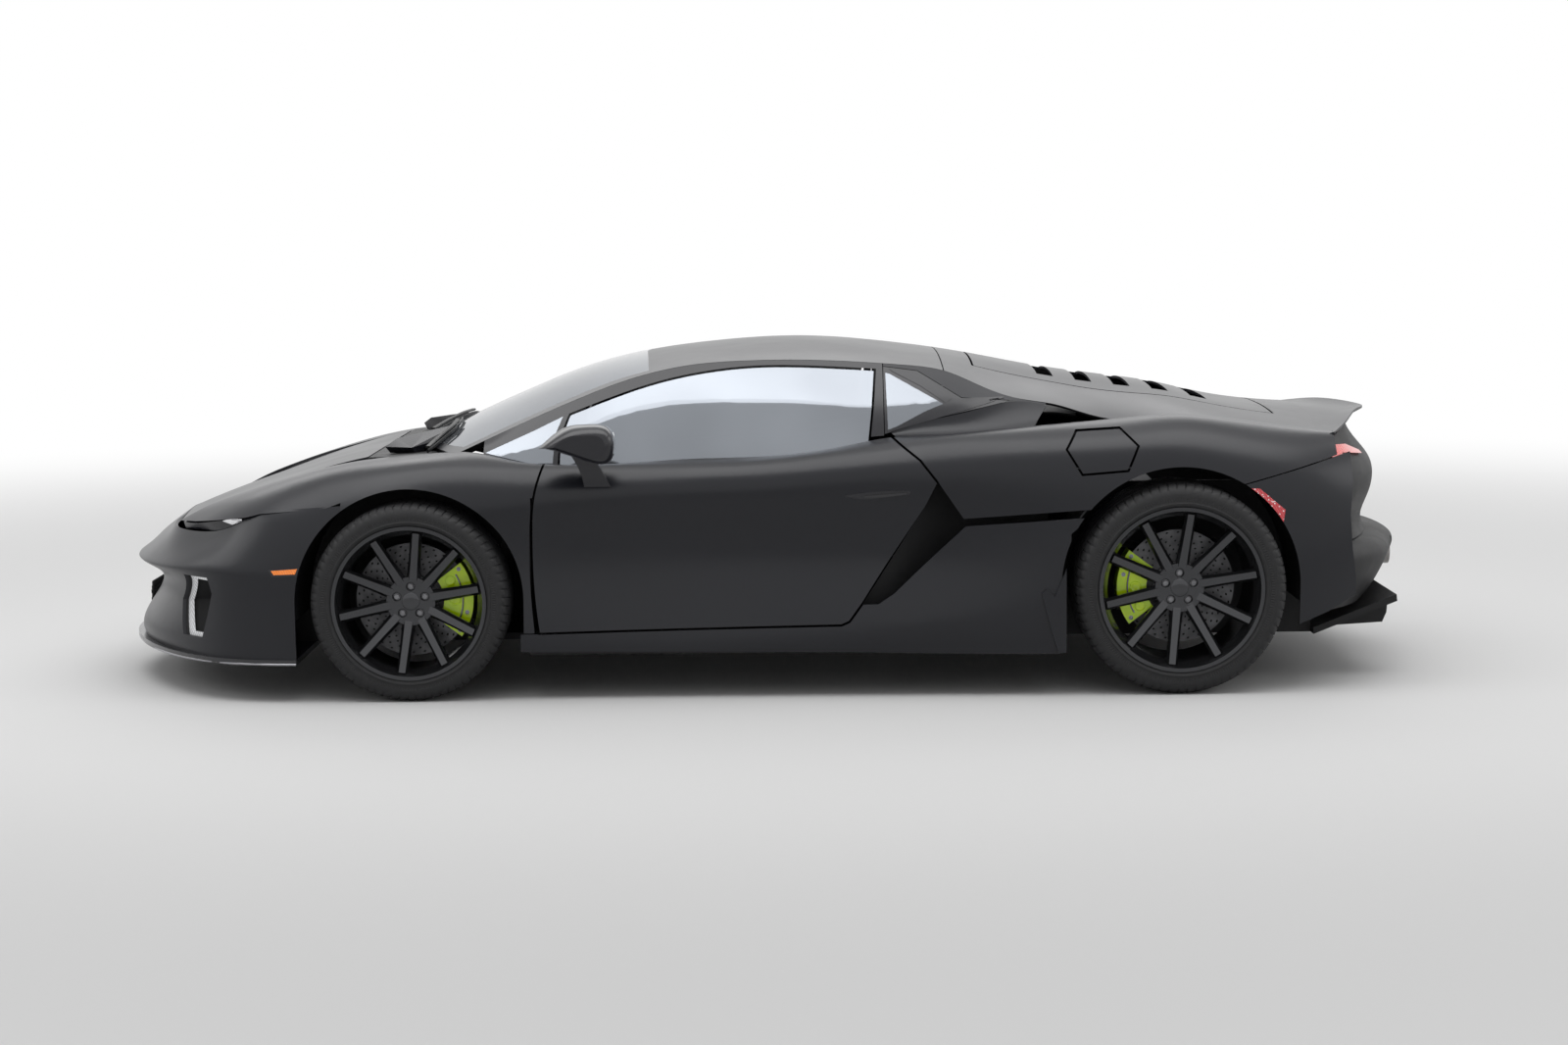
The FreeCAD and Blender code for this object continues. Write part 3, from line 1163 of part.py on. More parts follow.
def wishbone(axle_x, root_y, tip_y, z, ball):
    """Two-legged arm from the bay wall to a ball at its tip, on the left side."""
    legs = []
    for side in (1, -1):
        leg = through_z([(axle_x + side * arm_spread - arm_thickness / 2, -root_y),
                         (axle_x + side * arm_spread + arm_thickness / 2, -root_y),
                         (axle_x + arm_thickness / 2, -tip_y), (axle_x - arm_thickness / 2, -tip_y)],
                        z - arm_thickness / 2, z + arm_thickness / 2)
        legs.append(leg)
    legs.append(Part.makeSphere(ball, Vector(axle_x, -tip_y, z)))
    return fused(legs)


front_arms = [wishbone(front_axle_x, front_well_y, kingpin_y,
                       front_tyre_radius + level * kingpin_half_height, ball_radius)
              for level in (1, -1)]
save("front_wishbones", pair(Part.makeCompound(front_arms)))
rear_back = rear_half_track + rear_hub_dish - disc_setback - disc_thickness / 2 - disc_clearance \
    - upright_thickness
rear_arms = [wishbone(rear_axle_x, rear_well_y, rear_back + 10, rear_tyre_radius
                      + level * (kingpin_half_height - 14), ball_radius * 0.7).cut(rear_carrier)
             for level in (1, -1)]
rear_set = fused([rear_carrier] + [largest(arm) for arm in rear_arms])
save("rear_suspension", pair(rear_set))

# Side intakes behind the doors and the ramps above them
duct_grid = []
for x, half in duct_plan:
    duct_grid.append([Vector(x, -half, z) for z in duct_heights])
duct = shell(duct_grid, inward(duct_grid, intake_wall))
ramp_grid = []
for rim_x, lip_x, lip_z in ramp_lips:
    half, height = follow(inner, rim_x)
    a = Vector(rim_x, -half + 1, height - 3)
    b = outer_point(canopy_thick, lip_x, lip_z)
    ramp_grid.append([a, a * 0.5 + b * 0.5 + Vector(0, ramp_hollow, 0), b])
ramp = shell(ramp_grid, inward(ramp_grid, intake_wall))
ramp = ramp.cut(side_skin).cut(sail_trim).cut(sail)
ramp = largest(ramp.cut(through_y(door_outline, 600, 1100, shut_gap)))
save("sail_panels", pair(largest(sail.fuse(ramp))))
floor_grid = []
for x, lip_half, lip_z in floor_lips:
    half, height = follow(inner, x)
    a = Vector(x, -half - floor_overlap, height - floor_drop)
    b = Vector(x, -lip_half, lip_z)
    floor_grid.append([a, a * 0.5 + b * 0.5 + Vector(0, 0, -6), b])
duct_floor = shell(floor_grid, shifted_up(floor_grid, -intake_wall)).cut(side_skin).cut(ramp)
duct_floor = largest(duct_floor)
duct = duct.cut(side_skin).cut(through_y(door_outline, 600, 1100, shut_gap))
duct = duct.cut(ramp).cut(duct_floor)
save("side_intakes", pair(Part.makeCompound([largest(duct), duct_floor])))

# Engine, seats, dashboard and steering
engine = box(engine_front_x, engine_rear_x, -engine_half, engine_half, floor_z + floor_wall, engine_top)
save("engine", engine.makeChamfer(60, [edge for edge in engine.Edges
                                       if abs(edge.BoundBox.ZMin - engine_top) < 1
                                       and edge.BoundBox.ZLength < 1]))


def seat(y):
    """Bucket seat shell and cushion for one person, centred on a half width."""
    base_top = floor_z + floor_wall
    cushion = through_y([(seat_x - 260, base_top + 120), (seat_x - 250, base_top + 190),
                         (seat_x + 190, base_top + 130), (seat_x + 240, base_top + 40),
                         (seat_x - 200, base_top + 40)], y - seat_width / 2, y + seat_width / 2)
    back = through_y([(seat_x + 190, base_top + 130), [(seat_x + 240, base_top + 300),
                     (seat_x + 330, base_top + 560), (seat_x + 395, base_top + 700)],
                      (seat_x + 450, base_top + 800), (seat_x + 500, base_top + 780),
                      (seat_x + 450, base_top + 500), (seat_x + 340, base_top + 60),
                      (seat_x + 240, base_top + 40)], y - seat_width / 2, y + seat_width / 2)
    rails = []
    for step in (-150, 150):
        rails.append(left_box(seat_x - 200, seat_x + 260, y + step - 20, y + step + 20,
                              base_top, base_top + 44))
    return fused([cushion, back] + rails)


save("seats", Part.makeCompound([seat(driver_y), mirrored(seat(driver_y))]))
dash_profile = [(-866, 560), [(-866, 796), (-760, 815), (-600, 770), (dash_rear_x, 700)],
                (dash_rear_x - 20, 600), (-640, 560)]
dash = through_y(dash_profile, -dash_half, dash_half)
dash_post = box(-800, -680, -tunnel_half_width + 10, tunnel_half_width - 10,
                floor_z + tunnel_height, 600)
tilt = math.radians(steering_tilt)
axis = Vector(math.cos(tilt), 0, math.sin(tilt))
column_start = Vector(steering_x, -driver_y, steering_z) - axis * 330
column = Part.makeCylinder(column_radius, 330, column_start, axis)
dash = fused([dash, dash_post, column])
save("dashboard", dash)
ring = Part.makeTorus(steering_radius, steering_grip, Vector(0, 0, 0), Vector(0, 0, 1))
hub = Part.makeCylinder(wheel_hub_radius, 40, Vector(0, 0, -30))
arms = [box(-14, 14, -steering_radius, steering_radius, -12, 4),
        box(0, steering_radius, -16, 16, -12, 4)]
steering = fused([ring, hub] + arms)
steering = steering.cut(Part.makeCylinder(column_radius + bearing_play, 60, Vector(0, 0, -55)))
steering.rotate(Vector(0, 0, 0), Vector(0, 1, 0), 90 - steering_tilt)
steering.translate(Vector(steering_x, -driver_y, steering_z) + axis * 10)
save("steering_wheel", largest(steering))
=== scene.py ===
"""Finishes and fine pieces of a low two-seat mid-engined sports car."""
import bmesh
import bpy
import math
from mathutils import Matrix, Vector
from mathutils.bvhtree import BVHTree
from mathutils.geometry import tessellate_polygon


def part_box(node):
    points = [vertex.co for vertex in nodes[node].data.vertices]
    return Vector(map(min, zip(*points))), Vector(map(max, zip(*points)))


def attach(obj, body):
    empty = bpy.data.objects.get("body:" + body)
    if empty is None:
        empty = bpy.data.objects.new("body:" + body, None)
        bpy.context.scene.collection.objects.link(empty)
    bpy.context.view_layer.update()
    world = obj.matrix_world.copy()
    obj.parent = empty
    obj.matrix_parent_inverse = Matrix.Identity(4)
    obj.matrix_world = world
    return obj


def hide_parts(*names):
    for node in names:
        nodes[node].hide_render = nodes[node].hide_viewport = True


bl_info = {
    "name": "Sports car",
    "version": (1, 1, 0),
    "blender": (4, 5, 0),
    "location": "View3D > Sidebar > Sports car",
    "description": "Dresses the frame of a mid-engined sports car",
    "category": "Object",
}

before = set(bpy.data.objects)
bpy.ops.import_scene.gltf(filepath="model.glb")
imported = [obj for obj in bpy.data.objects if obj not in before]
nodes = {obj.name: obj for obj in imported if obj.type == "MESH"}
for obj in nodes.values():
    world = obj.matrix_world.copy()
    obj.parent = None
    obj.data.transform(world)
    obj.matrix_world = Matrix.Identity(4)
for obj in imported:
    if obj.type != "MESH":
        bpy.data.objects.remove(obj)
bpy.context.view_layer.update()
MM = 0.001
SIDES = (("left", -1), ("right", 1))
ENDS = ("front", "rear")
# Places in mm on either side of a shut line where a ray looks for the surface
GAP_REACHES = (0.0, 1.0, 2.0, 4.0, 8.0)


class Value:
    """A socket of a shader tree that takes part in Python expressions."""

    def __init__(self, tree, socket=None):
        self.tree = tree
        self.socket = socket

    def node(self, kind, settings=None, values=None, out=0):
        """New node: its settings first, then the values or links of its sockets."""
        made = self.tree.nodes.new(kind)
        for name, setting in (settings or {}).items():
            setattr(made, name, setting)
        for name, value in (values or {}).items():
            if isinstance(value, Value):
                self.tree.links.new(value.socket, made.inputs[name])
            else:
                made.inputs[name].default_value = value
        return Value(self.tree, made.outputs[out] if made.outputs else None)

    def math(self, operation, *terms):
        return self.node("ShaderNodeMath", {"operation": operation}, dict(enumerate(terms)))

    def __add__(self, other):
        return self.math("ADD", self, other)

    __radd__ = __add__

    def __sub__(self, other):
        return self.math("SUBTRACT", self, other)

    def __rsub__(self, other):
        return self.math("SUBTRACT", other, self)

    def __mul__(self, other):
        return self.math("MULTIPLY", self, other)

    __rmul__ = __mul__

    def between(self, low, high, a=0.0, b=1.0):
        """Maps low..high smoothly onto a..b."""
        return self.node("ShaderNodeMapRange", {"interpolation_type": "SMOOTHSTEP"},
                         {"Value": self, "From Min": low, "From Max": high, "To Min": a, "To Max": b})

    def mixed(self, low, high):
        """Colour between two others, by this value as the share of the second."""
        return self.node("ShaderNodeMix", {"data_type": "RGBA"}, {0: self, 6: low, 7: high}, out=2)

    def noise(self, scale, detail=2.0):
        """Noise at this place, with its scale in features a metre."""
        return self.node("ShaderNodeTexNoise", None,
                         {"Vector": self, "Scale": scale, "Detail": detail})

    def cells(self, scale, feature="F1"):
        """Distance from the nearest cell's middle, with cells of one over scale metres."""
        return self.node("ShaderNodeTexVoronoi", {"feature": feature},
                         {"Vector": self, "Scale": scale})

    def axes(self):
        split = self.node("ShaderNodeSeparateXYZ", None, {0: self})
        return [Value(self.tree, socket) for socket in split.socket.node.outputs]

    def root(self):
        return self.math("SQRT", self)

    def reach(self):
        """Distance from the upright line through the middle."""
        x, y, z = self.axes()
        return (x * x + y * y).root()

    def polar(self, centre):
        """Distance from an axle along Y, and the angle round it."""
        x, y, z = self.axes()
        dx = x - centre.x
        dz = z - centre.z
        return (dx * dx + dz * dz).root(), dz.math("ARCTAN2", dz, dx)

    def sine(self):
        return self.math("SINE", self)

    def bump(self, height, distance):
        return self.node("ShaderNodeBump", None,
                         {"Height": height, "Distance": distance, "Strength": 1.0})


def rgba(colour, shade=1.0):
    return (*[min(part * shade, 1.0) for part in colour[:3]], 1.0)


def finish(name, sockets, varied):
    """Principled material: fixed numbers on its sockets, and what varies over the surface."""
    made = bpy.data.materials.new(name)
    made.use_nodes = True
    tree = made.node_tree
    shader = tree.nodes["Principled BSDF"]
    for socket, value in sockets.items():
        shader.inputs[socket].default_value = value
    place = Value(tree).node("ShaderNodeTexCoord", out="Object")
    for socket, value in varied(place).items():
        tree.links.new(value.socket, shader.inputs[socket])
    return made


def paint_finish(name, colour, roughness, coat, metallic, level=0.5):
    """Car paint with a fine metal flake and a slight unevenness."""
    def varied(place):
        flake = place.noise(2600.0, 1.0).between(0.35, 0.7)
        cloud = place.noise(3.0, 3.0).between(0.3, 0.7, roughness - 0.02, roughness + 0.03)
        return {"Base Color": flake.mixed(rgba(colour, 0.84), rgba(colour, 1.2)),
                "Roughness": cloud}
    return finish(name, {"Metallic": metallic, "Coat Weight": coat, "Coat Roughness": 0.2,
                         "Specular IOR Level": level}, varied)


def gloss_finish(name, colour, roughness=0.12):
    """Smooth gloss moulding with faint handling marks."""
    def varied(place):
        marks = place.noise(14.0, 4.0)
        return {"Base Color": marks.between(0.3, 0.7).mixed(rgba(colour, 0.9), rgba(colour, 1.1)),
                "Roughness": marks.between(0.35, 0.75, roughness * 0.75, roughness * 1.35)}
    return finish(name, {"Coat Weight": 0.5, "Coat Roughness": 0.05}, varied)


def grained_finish(name, colour, roughness, scale=900.0, depth=0.0004, level=0.3):
    """Moulded plastic or leather with a fine pebble grain and worn patches."""
    def varied(place):
        patch = place.noise(9.0, 3.0)
        return {"Base Color": patch.between(0.3, 0.75).mixed(rgba(colour, 0.8), rgba(colour, 1.2)),
                "Roughness": patch.between(0.25, 0.75, roughness - 0.06, roughness + 0.05),
                "Normal": place.bump(place.cells(scale, "SMOOTH_F1"), depth)}
    return finish(name, {"Specular IOR Level": level}, varied)


def metal_finish(name, colour, roughness):
    """Cast or machined metal with fine speckle and dulled patches."""
    def varied(place):
        patch = place.noise(10.0, 4.0)
        return {"Base Color": patch.between(0.3, 0.7).mixed(rgba(colour, 0.8), rgba(colour, 1.12)),
                "Roughness": patch.between(0.3, 0.75, roughness - 0.05, roughness + 0.08),
                "Normal": place.bump(place.noise(720.0), 0.00015)}
    return finish(name, {"Metallic": 1.0}, varied)


def glass_finish(name, colour, alpha):
    """Silvered car glass that lets the cabin show faintly through."""
    def varied(place):
        haze = place.noise(1.6).between(0.3, 0.7)
        return {"Base Color": haze.mixed(rgba(colour, 0.86), rgba(colour, 1.08))}
    return finish(name, {"Metallic": 0.8, "Roughness": 0.035, "Alpha": alpha}, varied)


def lens_finish(name, colour, glow, stud_glint_scale=0.0):
    """Coloured lens with fine flutes, faintly lit, some with rows of studs whose glints are painted as
    pale dots.
    """
    def varied(place):
        x, y, z = place.axes()
        flute = (x * 700.0 + z * 400.0).sine()
        tone = flute.between(-1.0, 1.0).mixed(rgba(colour, 0.7), rgba(colour, 1.1))
        # Pale dots painted on the lens as the glints of its reflector studs
        if stud_glint_scale:
            stud_glint = place.cells(stud_glint_scale).between(0.3, 0.22)
            tone = stud_glint.mixed(tone, (0.9, 0.75, 0.75, 1.0))
        return {"Base Color": tone, "Normal": place.bump(flute, 0.0005)}
    return finish(name, {"Roughness": 0.1, "Coat Weight": 1.0, "Coat Roughness": 0.03,
                         "Emission Color": rgba(colour), "Emission Strength": glow}, varied)


def disc_finish(name, colour, centre):
    """Brake disc with turned rings, and drilled rows about its axle whose holes are painted near black
    as the shade inside them.
    """
    def varied(place):
        radius, angle = place.polar(centre)
        rings = (radius * 4200.0).sine()
        holes = (angle * 30.0 + radius * 60.0).sine() * (radius * 210.0).sine()
        # Drilled holes painted near black: painted shade standing in for the holes
        hole_shade = holes.between(0.72, 0.8) * radius.between(0.1, 0.105)
        patch = place.noise(30.0, 3.0).between(0.3, 0.7)
        return {"Base Color": hole_shade.mixed(patch.mixed(rgba(colour, 0.75), rgba(colour, 1.15)),
                                            (0.004, 0.004, 0.004, 1.0)),
                "Roughness": rings.between(-1.0, 1.0, 0.34, 0.5),
                "Normal": place.bump(rings, 0.0001)}
    return finish(name, {"Metallic": 0.85}, varied)


def rubber_finish(name, colour, centre, radius, rim):
    """Tyre rubber: mould rings and a fluted band on the side wall, and dust on the tread."""
    def varied(place):
        reach, angle = place.polar(centre)
        rings = (reach * 1500.0).sine()
        wall = reach.between(radius - 0.022, radius - 0.03)
        band = reach.between(rim + 0.022, rim + 0.024) * reach.between(rim + 0.034, rim + 0.032)
        flutes = (angle * 220.0).sine() * band
        dust = place.noise(45.0, 4.0)
        return {"Base Color": dust.between(0.3, 0.75).mixed(rgba(colour, 0.75), rgba(colour, 1.35)),
                "Roughness": dust.between(0.3, 0.7, 0.56, 0.72),
                "Normal": place.bump(rings * wall * 0.35 + flutes, 0.0007)}
    return finish(name, {"Specular IOR Level": 0.35}, varied)


def hide_finish(name, colour):
    """Cabin leather with a fine pebble."""
    return grained_finish(name, colour, 0.5, scale=1500.0, depth=0.0003)


def wear(names, material):
    """Gives CAD nodes a finish."""
    for name in names:
        slots = nodes[name].data.materials
        slots.clear()
        slots.append(material)


def wear_where(names, material, chosen):
    """Gives a second finish to the faces of CAD nodes for which chosen(centre, normal) is true."""
    for name in names:
        mesh = nodes[name].data
        mesh.materials.append(material)
        place = len(mesh.materials) - 1
        for face in mesh.polygons:
            if chosen(face.center, face.normal):
                face.material_index = place


def piece_of(name, points, faces, body, material, angle=0.6):
    """New mesh object that rides on a body, with its faces turned outwards."""
    mesh = bpy.data.meshes.new(name)
    mesh.from_pydata([tuple(point) for point in points], [], faces)
    work = bmesh.new()
    work.from_mesh(mesh)
    bmesh.ops.recalc_face_normals(work, faces=work.faces)
    work.to_mesh(mesh)
    work.free()
    mesh.materials.append(material)
    mesh.shade_smooth()
    mesh.set_sharp_from_angle(angle=angle)
    piece = bpy.data.objects.new(name, mesh)
    bpy.context.scene.collection.objects.link(piece)
    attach(piece, body)
    return piece


def twin(piece, name, body):
    """The right-hand copy of a left-hand piece."""
    source = piece.data
    points = [(v.co.x, -v.co.y, v.co.z) for v in source.vertices]
    return piece_of(name, points, [tuple(face.vertices) for face in source.polygons], body,
                    source.materials[0])


def closed_grid(outer, inner):
    """Points and faces of the closed thin solid between two equal grids."""
    rows = len(outer)
    columns = len(outer[0])
    points = [p for grid in (outer, inner) for row in grid for p in row]

    def at(side, i, j):
        return side * rows * columns + i * columns + j

    faces = []
    for i in range(rows - 1):
        for j in range(columns - 1):
            for side in (0, 1):
                faces.append((at(side, i, j), at(side, i, j + 1), at(side, i + 1, j + 1),
                              at(side, i + 1, j)))
    rim = [(0, j) for j in range(columns)] + [(i, columns - 1) for i in range(1, rows)]
    rim += [(rows - 1, j) for j in range(columns - 2, -1, -1)] + [(i, 0) for i in range(rows - 2, 0, -1)]
    for k, (i, j) in enumerate(rim):
        ni, nj = rim[(k + 1) % len(rim)]
        faces.append((at(0, i, j), at(1, i, j), at(1, ni, nj), at(0, ni, nj)))
    return points, faces


def spaced(line, count):
    """Places spread evenly along a line of points."""
    line = [Vector(point) for point in line]
    runs = [(b - a).length for a, b in zip(line, line[1:])]
    made = []
    for k in range(count + 1):
        left = sum(runs) * k / count
        for a, b, run in zip(line, line[1:], runs):
            if left <= run or b is line[-1]:
                made.append(a.lerp(b, min(left / run, 1.0)))
                break
            left -= run
    return made


class Skin:
    """Outer faces of some CAD nodes, met by rays that run along one axis towards its zero."""

    def __init__(self, names, axis, start):
        gathered = bmesh.new()
        for name in names:
            gathered.from_mesh(nodes[name].data)
        self.tree = BVHTree.FromBMesh(gathered)
        gathered.free()
        self.axis = axis
        self.start = start
        self.way = Vector((0.0, 0.0, 0.0))
        self.way[axis] = -math.copysign(1.0, start)

    def meet(self, a, b):
        """Point of the surface, in metres, and its outward normal, for two places in mm.

        Over a shut line the depth comes from the nearest surface beside it.
        """
        spot = self.start_of(a, b)
        for reach in GAP_REACHES:
            for step_a, step_b in ((1, 0), (-1, 0), (0, 1), (0, -1)):
                start = self.start_of(a + reach * step_a, b + reach * step_b)
                hit, normal, index, distance = self.tree.ray_cast(start, self.way)
                if hit is not None:
                    spot[self.axis] = hit[self.axis]
                    return spot, normal * (-1.0 if normal.dot(self.way) > 0 else 1.0)
        raise RuntimeError(f"no surface at {a}, {b}")

    def start_of(self, a, b):
        """Start of the ray through two places in mm."""
        spot = [a * MM, b * MM]
        spot.insert(self.axis, self.start)
        return Vector(spot)

    def ribbons(self, name, edges, rise, sink, body, material, along=24, across=5):
        """Thin closed strip that follows the left side's surface between two edges, and its twin."""
        outer = []
        inner = []
        for a, b in zip(*[spaced(edge, along) for edge in edges]):
            met = [self.meet(*a.lerp(b, k / across)) for k in range(across + 1)]
            outer.append([hit + normal * rise * MM for hit, normal in met])
            inner.append([hit - normal * sink * MM for hit, normal in met])
        points, faces = closed_grid(outer, inner)
        left = piece_of(name + "_left", points, faces, body, material)
        twin(left, name + "_right", body.replace("left", "right"))


def tube_faces(rings, count):
    """Faces of a tube made of rings of points, closed at both ends."""
    faces = []
    for i in range(rings - 1):
        for k in range(count):
            n = (k + 1) % count
            faces.append((i * count + k, i * count + n, (i + 1) * count + n, (i + 1) * count + k))
    return faces + [tuple(range(end * count, (end + 1) * count)) for end in (0, rings - 1)]


def swept(name, line, section, body, material, up=(0, 0, 1)):
    """Solid with one section, as (sideways, upwards) pairs in metres, carried along a line."""
    line = [Vector(point) for point in line]
    points = []
    for k, spot in enumerate(line):
        run = (line[min(k + 1, len(line) - 1)] - line[max(k - 1, 0)]).normalized()
        side = run.cross(Vector(up)).normalized()
        rise = side.cross(run)
        points += [spot + side * a + rise * b for a, b in section]
    return piece_of(name, points, tube_faces(len(line), len(section)), body, material)


def round_section(radius, count=10):
    return [(radius * math.cos(math.tau * k / count), radius * math.sin(math.tau * k / count))
            for k in range(count)]


def flat_section(width, height, corner):
    """Rectangle with its corners cut."""
    a = width / 2
    b = height / 2
    return [(-a, -b + corner), (-a + corner, -b), (a - corner, -b), (a, -b + corner),
            (a, b - corner), (a - corner, b), (-a + corner, b), (-a, b - corner)]


def turned(name, centre, rows, body, material, count, axis, angle=0.6):
    """Round piece about an axis from (radius, height) rows in mm, closed at both ends."""
    axis = Vector(axis).normalized()
    side = axis.orthogonal().normalized()
    other = axis.cross(side)
    points = []
    for radius, height in rows:
        for k in range(count):
            spin = math.tau * k / count
            points.append(Vector(centre) + axis * height * MM
                          + (side * math.cos(spin) + other * math.sin(spin)) * radius * MM)
    return piece_of(name, points, tube_faces(len(rows), count), body, material, angle)


# Pads: rows and columns of a face, how far its sides draw in, how its crown falls off, and the
# seams' share of the thickness, their width as a share of a channel, and half the welt's in metres
PAD_STEPS = 40
PAD_PULL = 0.05
CROWN_FALL = 0.42
SEAM_DEPTH = 0.22
SEAM_WIDTH = 0.09
WELT_HALF = 1.5 * MM


def cushion(name, place, length, width, thickness, channels, material):
    """Sewn pad: crowned on both faces, its sides pulled in between the corners, with channels."""
    outer = []
    inner = []
    for i in range(PAD_STEPS + 1):
        u = 2.0 * i / PAD_STEPS - 1.0
        top = []
        foot = []
        for j in range(PAD_STEPS + 1):
            v = 2.0 * j / PAD_STEPS - 1.0
            x = length / 2 * u * (1 - PAD_PULL * (1 - v * v))
            y = width / 2 * v * (1 - PAD_PULL * (1 - u * u))
            crown = ((1 - u ** 6) * (1 - v ** 6)) ** CROWN_FALL
            sewn = 0.0
            if channels > 1:
                phase = (u + 1) / 2 * channels
                near = abs(phase - round(phase))
                if 0 < round(phase) < channels:
                    sewn = SEAM_DEPTH * math.exp(-(near / SEAM_WIDTH) ** 2)
            top.append(place @ Vector((x, y, thickness / 2 * crown * (1 - sewn) + WELT_HALF)))
            foot.append(place @ Vector((x, y, -thickness / 2 * crown - WELT_HALF)))
        outer.append(top)
        inner.append(foot)
    points, faces = closed_grid(outer, inner)
    piece = piece_of(name, points, faces, "body", material, 1.2)
    return piece


def honeycomb(name, inside, box, cell, bar, depth, place, material):
    """Net of hexagons, kept where inside(u, v) holds, in mm on a plane that place sets."""
    points = []
    faces = []
    found = {}

    def point(u, v, back):
        key = (round(u, 2), round(v, 2), back)
        if key not in found:
            found[key] = len(points)
            points.append(place(u, v, depth if back else 0.0))
        return found[key]

    step = cell * math.sqrt(3) / 2
    far = cell / 2
    near = far - bar
    ring = [(math.sin(math.tau * k / 6), math.cos(math.tau * k / 6)) for k in range(6)]
    rows = range(int(box[1] / (cell * 0.75)) - 1, int(box[3] / (cell * 0.75)) + 2)
    for row in rows:
        for column in range(int(box[0] / step) - 1, int(box[2] / step) + 2):
            u = (column + 0.5 * (row % 2)) * step
            v = row * cell * 0.75
            if not inside(u, v):
                continue
            for corners in zip(ring, ring[1:] + ring[:1]):
                wide = [(u + a * far, v + b * far) for a, b in corners]
                slim = [(u + a * near, v + b * near) for a, b in corners]
                for back in (False, True):
                    faces.append((point(*wide[0], back), point(*wide[1], back),
                                  point(*slim[1], back), point(*slim[0], back)))
                faces.append((point(*slim[0], False), point(*slim[1], False),
                              point(*slim[1], True), point(*slim[0], True)))
    edges = {}
    for face in faces:
        for a, b in zip(face, face[1:] + face[:1]):
            edges[frozenset((a, b))] = edges.get(frozenset((a, b)), 0) + 1
    back_of = {found[key]: found[(key[0], key[1], True)] for key in found if not key[2]}
    for edge, count in edges.items():
        a, b = tuple(edge)
        if count == 1 and a in back_of and b in back_of:
            faces.append((a, b, back_of[b], back_of[a]))
    return piece_of(name, points, faces, "body", material, 0.5)


class CarColours(bpy.types.PropertyGroup):
    """Colours that a user would change."""
    paint: bpy.props.FloatVectorProperty(
        name="Paint", description="Satin paint of the body panels", subtype="COLOR", size=3,
        default=(0.0075, 0.008, 0.0115))
    caliper: bpy.props.FloatVectorProperty(
        name="Calipers", description="Paint of the brake calipers", subtype="COLOR", size=3,
        default=(0.66, 1.0, 0.0))
    wheel: bpy.props.FloatVectorProperty(
        name="Wheels", description="Lacquer of the rims", subtype="COLOR", size=3,
        default=(0.060, 0.061, 0.065))
    glass: bpy.props.FloatVectorProperty(
        name="Glass", description="Tint of the windows", subtype="COLOR", size=3,
        default=(0.29, 0.31, 0.34))
    floor: bpy.props.FloatVectorProperty(
        name="Floor", description="Studio floor", subtype="COLOR", size=3,
        default=(0.62, 0.62, 0.62))


class CarSizes(bpy.types.PropertyGroup):
    """Sizes of the fine pieces that a user would change."""
    groove_depth: bpy.props.FloatProperty(
        name="Groove depth", description="Depth of the tyre tread's grooves", unit="LENGTH",
        default=6.5 * MM)
    groove_half: bpy.props.FloatProperty(
        name="Groove half width", description="Half the width of the tread's grooves",
        unit="LENGTH", default=4.5 * MM)
    net_cell: bpy.props.FloatProperty(
        name="Net cell", description="Height of a hexagon in the intake nets", unit="LENGTH",
        default=19.0 * MM)
    floor_half: bpy.props.FloatProperty(
        name="Floor half width", description="Half the side of the studio floor", unit="LENGTH",
        default=60.0)


def colours():
    return bpy.context.scene.car_colours


def sizes():
    return bpy.context.scene.car_sizes


def black_gloss():
    return bpy.data.materials.get("gloss_black") or gloss_finish("gloss_black", (0.007, 0.007, 0.008))


def black_moulding():
    return (bpy.data.materials.get("black_moulding")
            or grained_finish("black_moulding", (0.013, 0.013, 0.014), 0.55))


PAINTED = ["front_fenders", "door_left", "door_right", "side_skirts", "quarter_panel_left",
           "quarter_panel_right", "fuel_flap", "front_bumper", "bonnet", "roof", "rear_deck",
           "engine_cover", "rear_bumper", "spoiler", "sail_panels"]
GLOSS_BLACK = ["window_frames", "headlamps", "mirror_left", "mirror_right", "side_markers"]
BLACK = ["front_grilles", "cowl", "diffuser", "tail_panel", "side_intakes", "wheel_liners",
         "fuel_filler", "rear_ledge", "frames"]
GLASS = ["windscreen", "door_glass_left", "door_glass_right", "fixed_side_glass"]


class CAR_OT_panels(bpy.types.Operator):
    """Satin paint of the panels and black of the trim between them"""
    bl_idname = "car.panels"
    bl_label = "Panels"

    def execute(self, context):
        paint = paint_finish("satin_paint", colours().paint, 0.3, 0.0, 0.1, 0.42)
        wear(PAINTED, paint)
        wear(GLOSS_BLACK, black_gloss())
        wear(BLACK, black_moulding())
        wear(["front_splitter"], paint_finish("blade_paint", (0.016, 0.016, 0.019), 0.25, 0.4, 0.2))
        lining = hide_finish("door_lining", (0.016, 0.016, 0.018))
        wear_where(["door_left"], lining, lambda centre, normal: normal.y > 0.45)
        wear_where(["door_right"], lining, lambda centre, normal: normal.y < -0.45)
        wear_where(["bonnet", "engine_cover", "spoiler", "rear_deck", "roof"], black_moulding(),
                   lambda centre, normal: normal.z < -0.3)
        return {"FINISHED"}


# Front edge of the splitter as (x, y), and its height, in mm
EDGE_PLAN = [(-2351, 0), (-2298.5, 300), (-2166, 600), (-2018, 800), (-1866, 917), (-1719, 965),
             (-1614, 977)]
EDGE_HEIGHT = 134.0
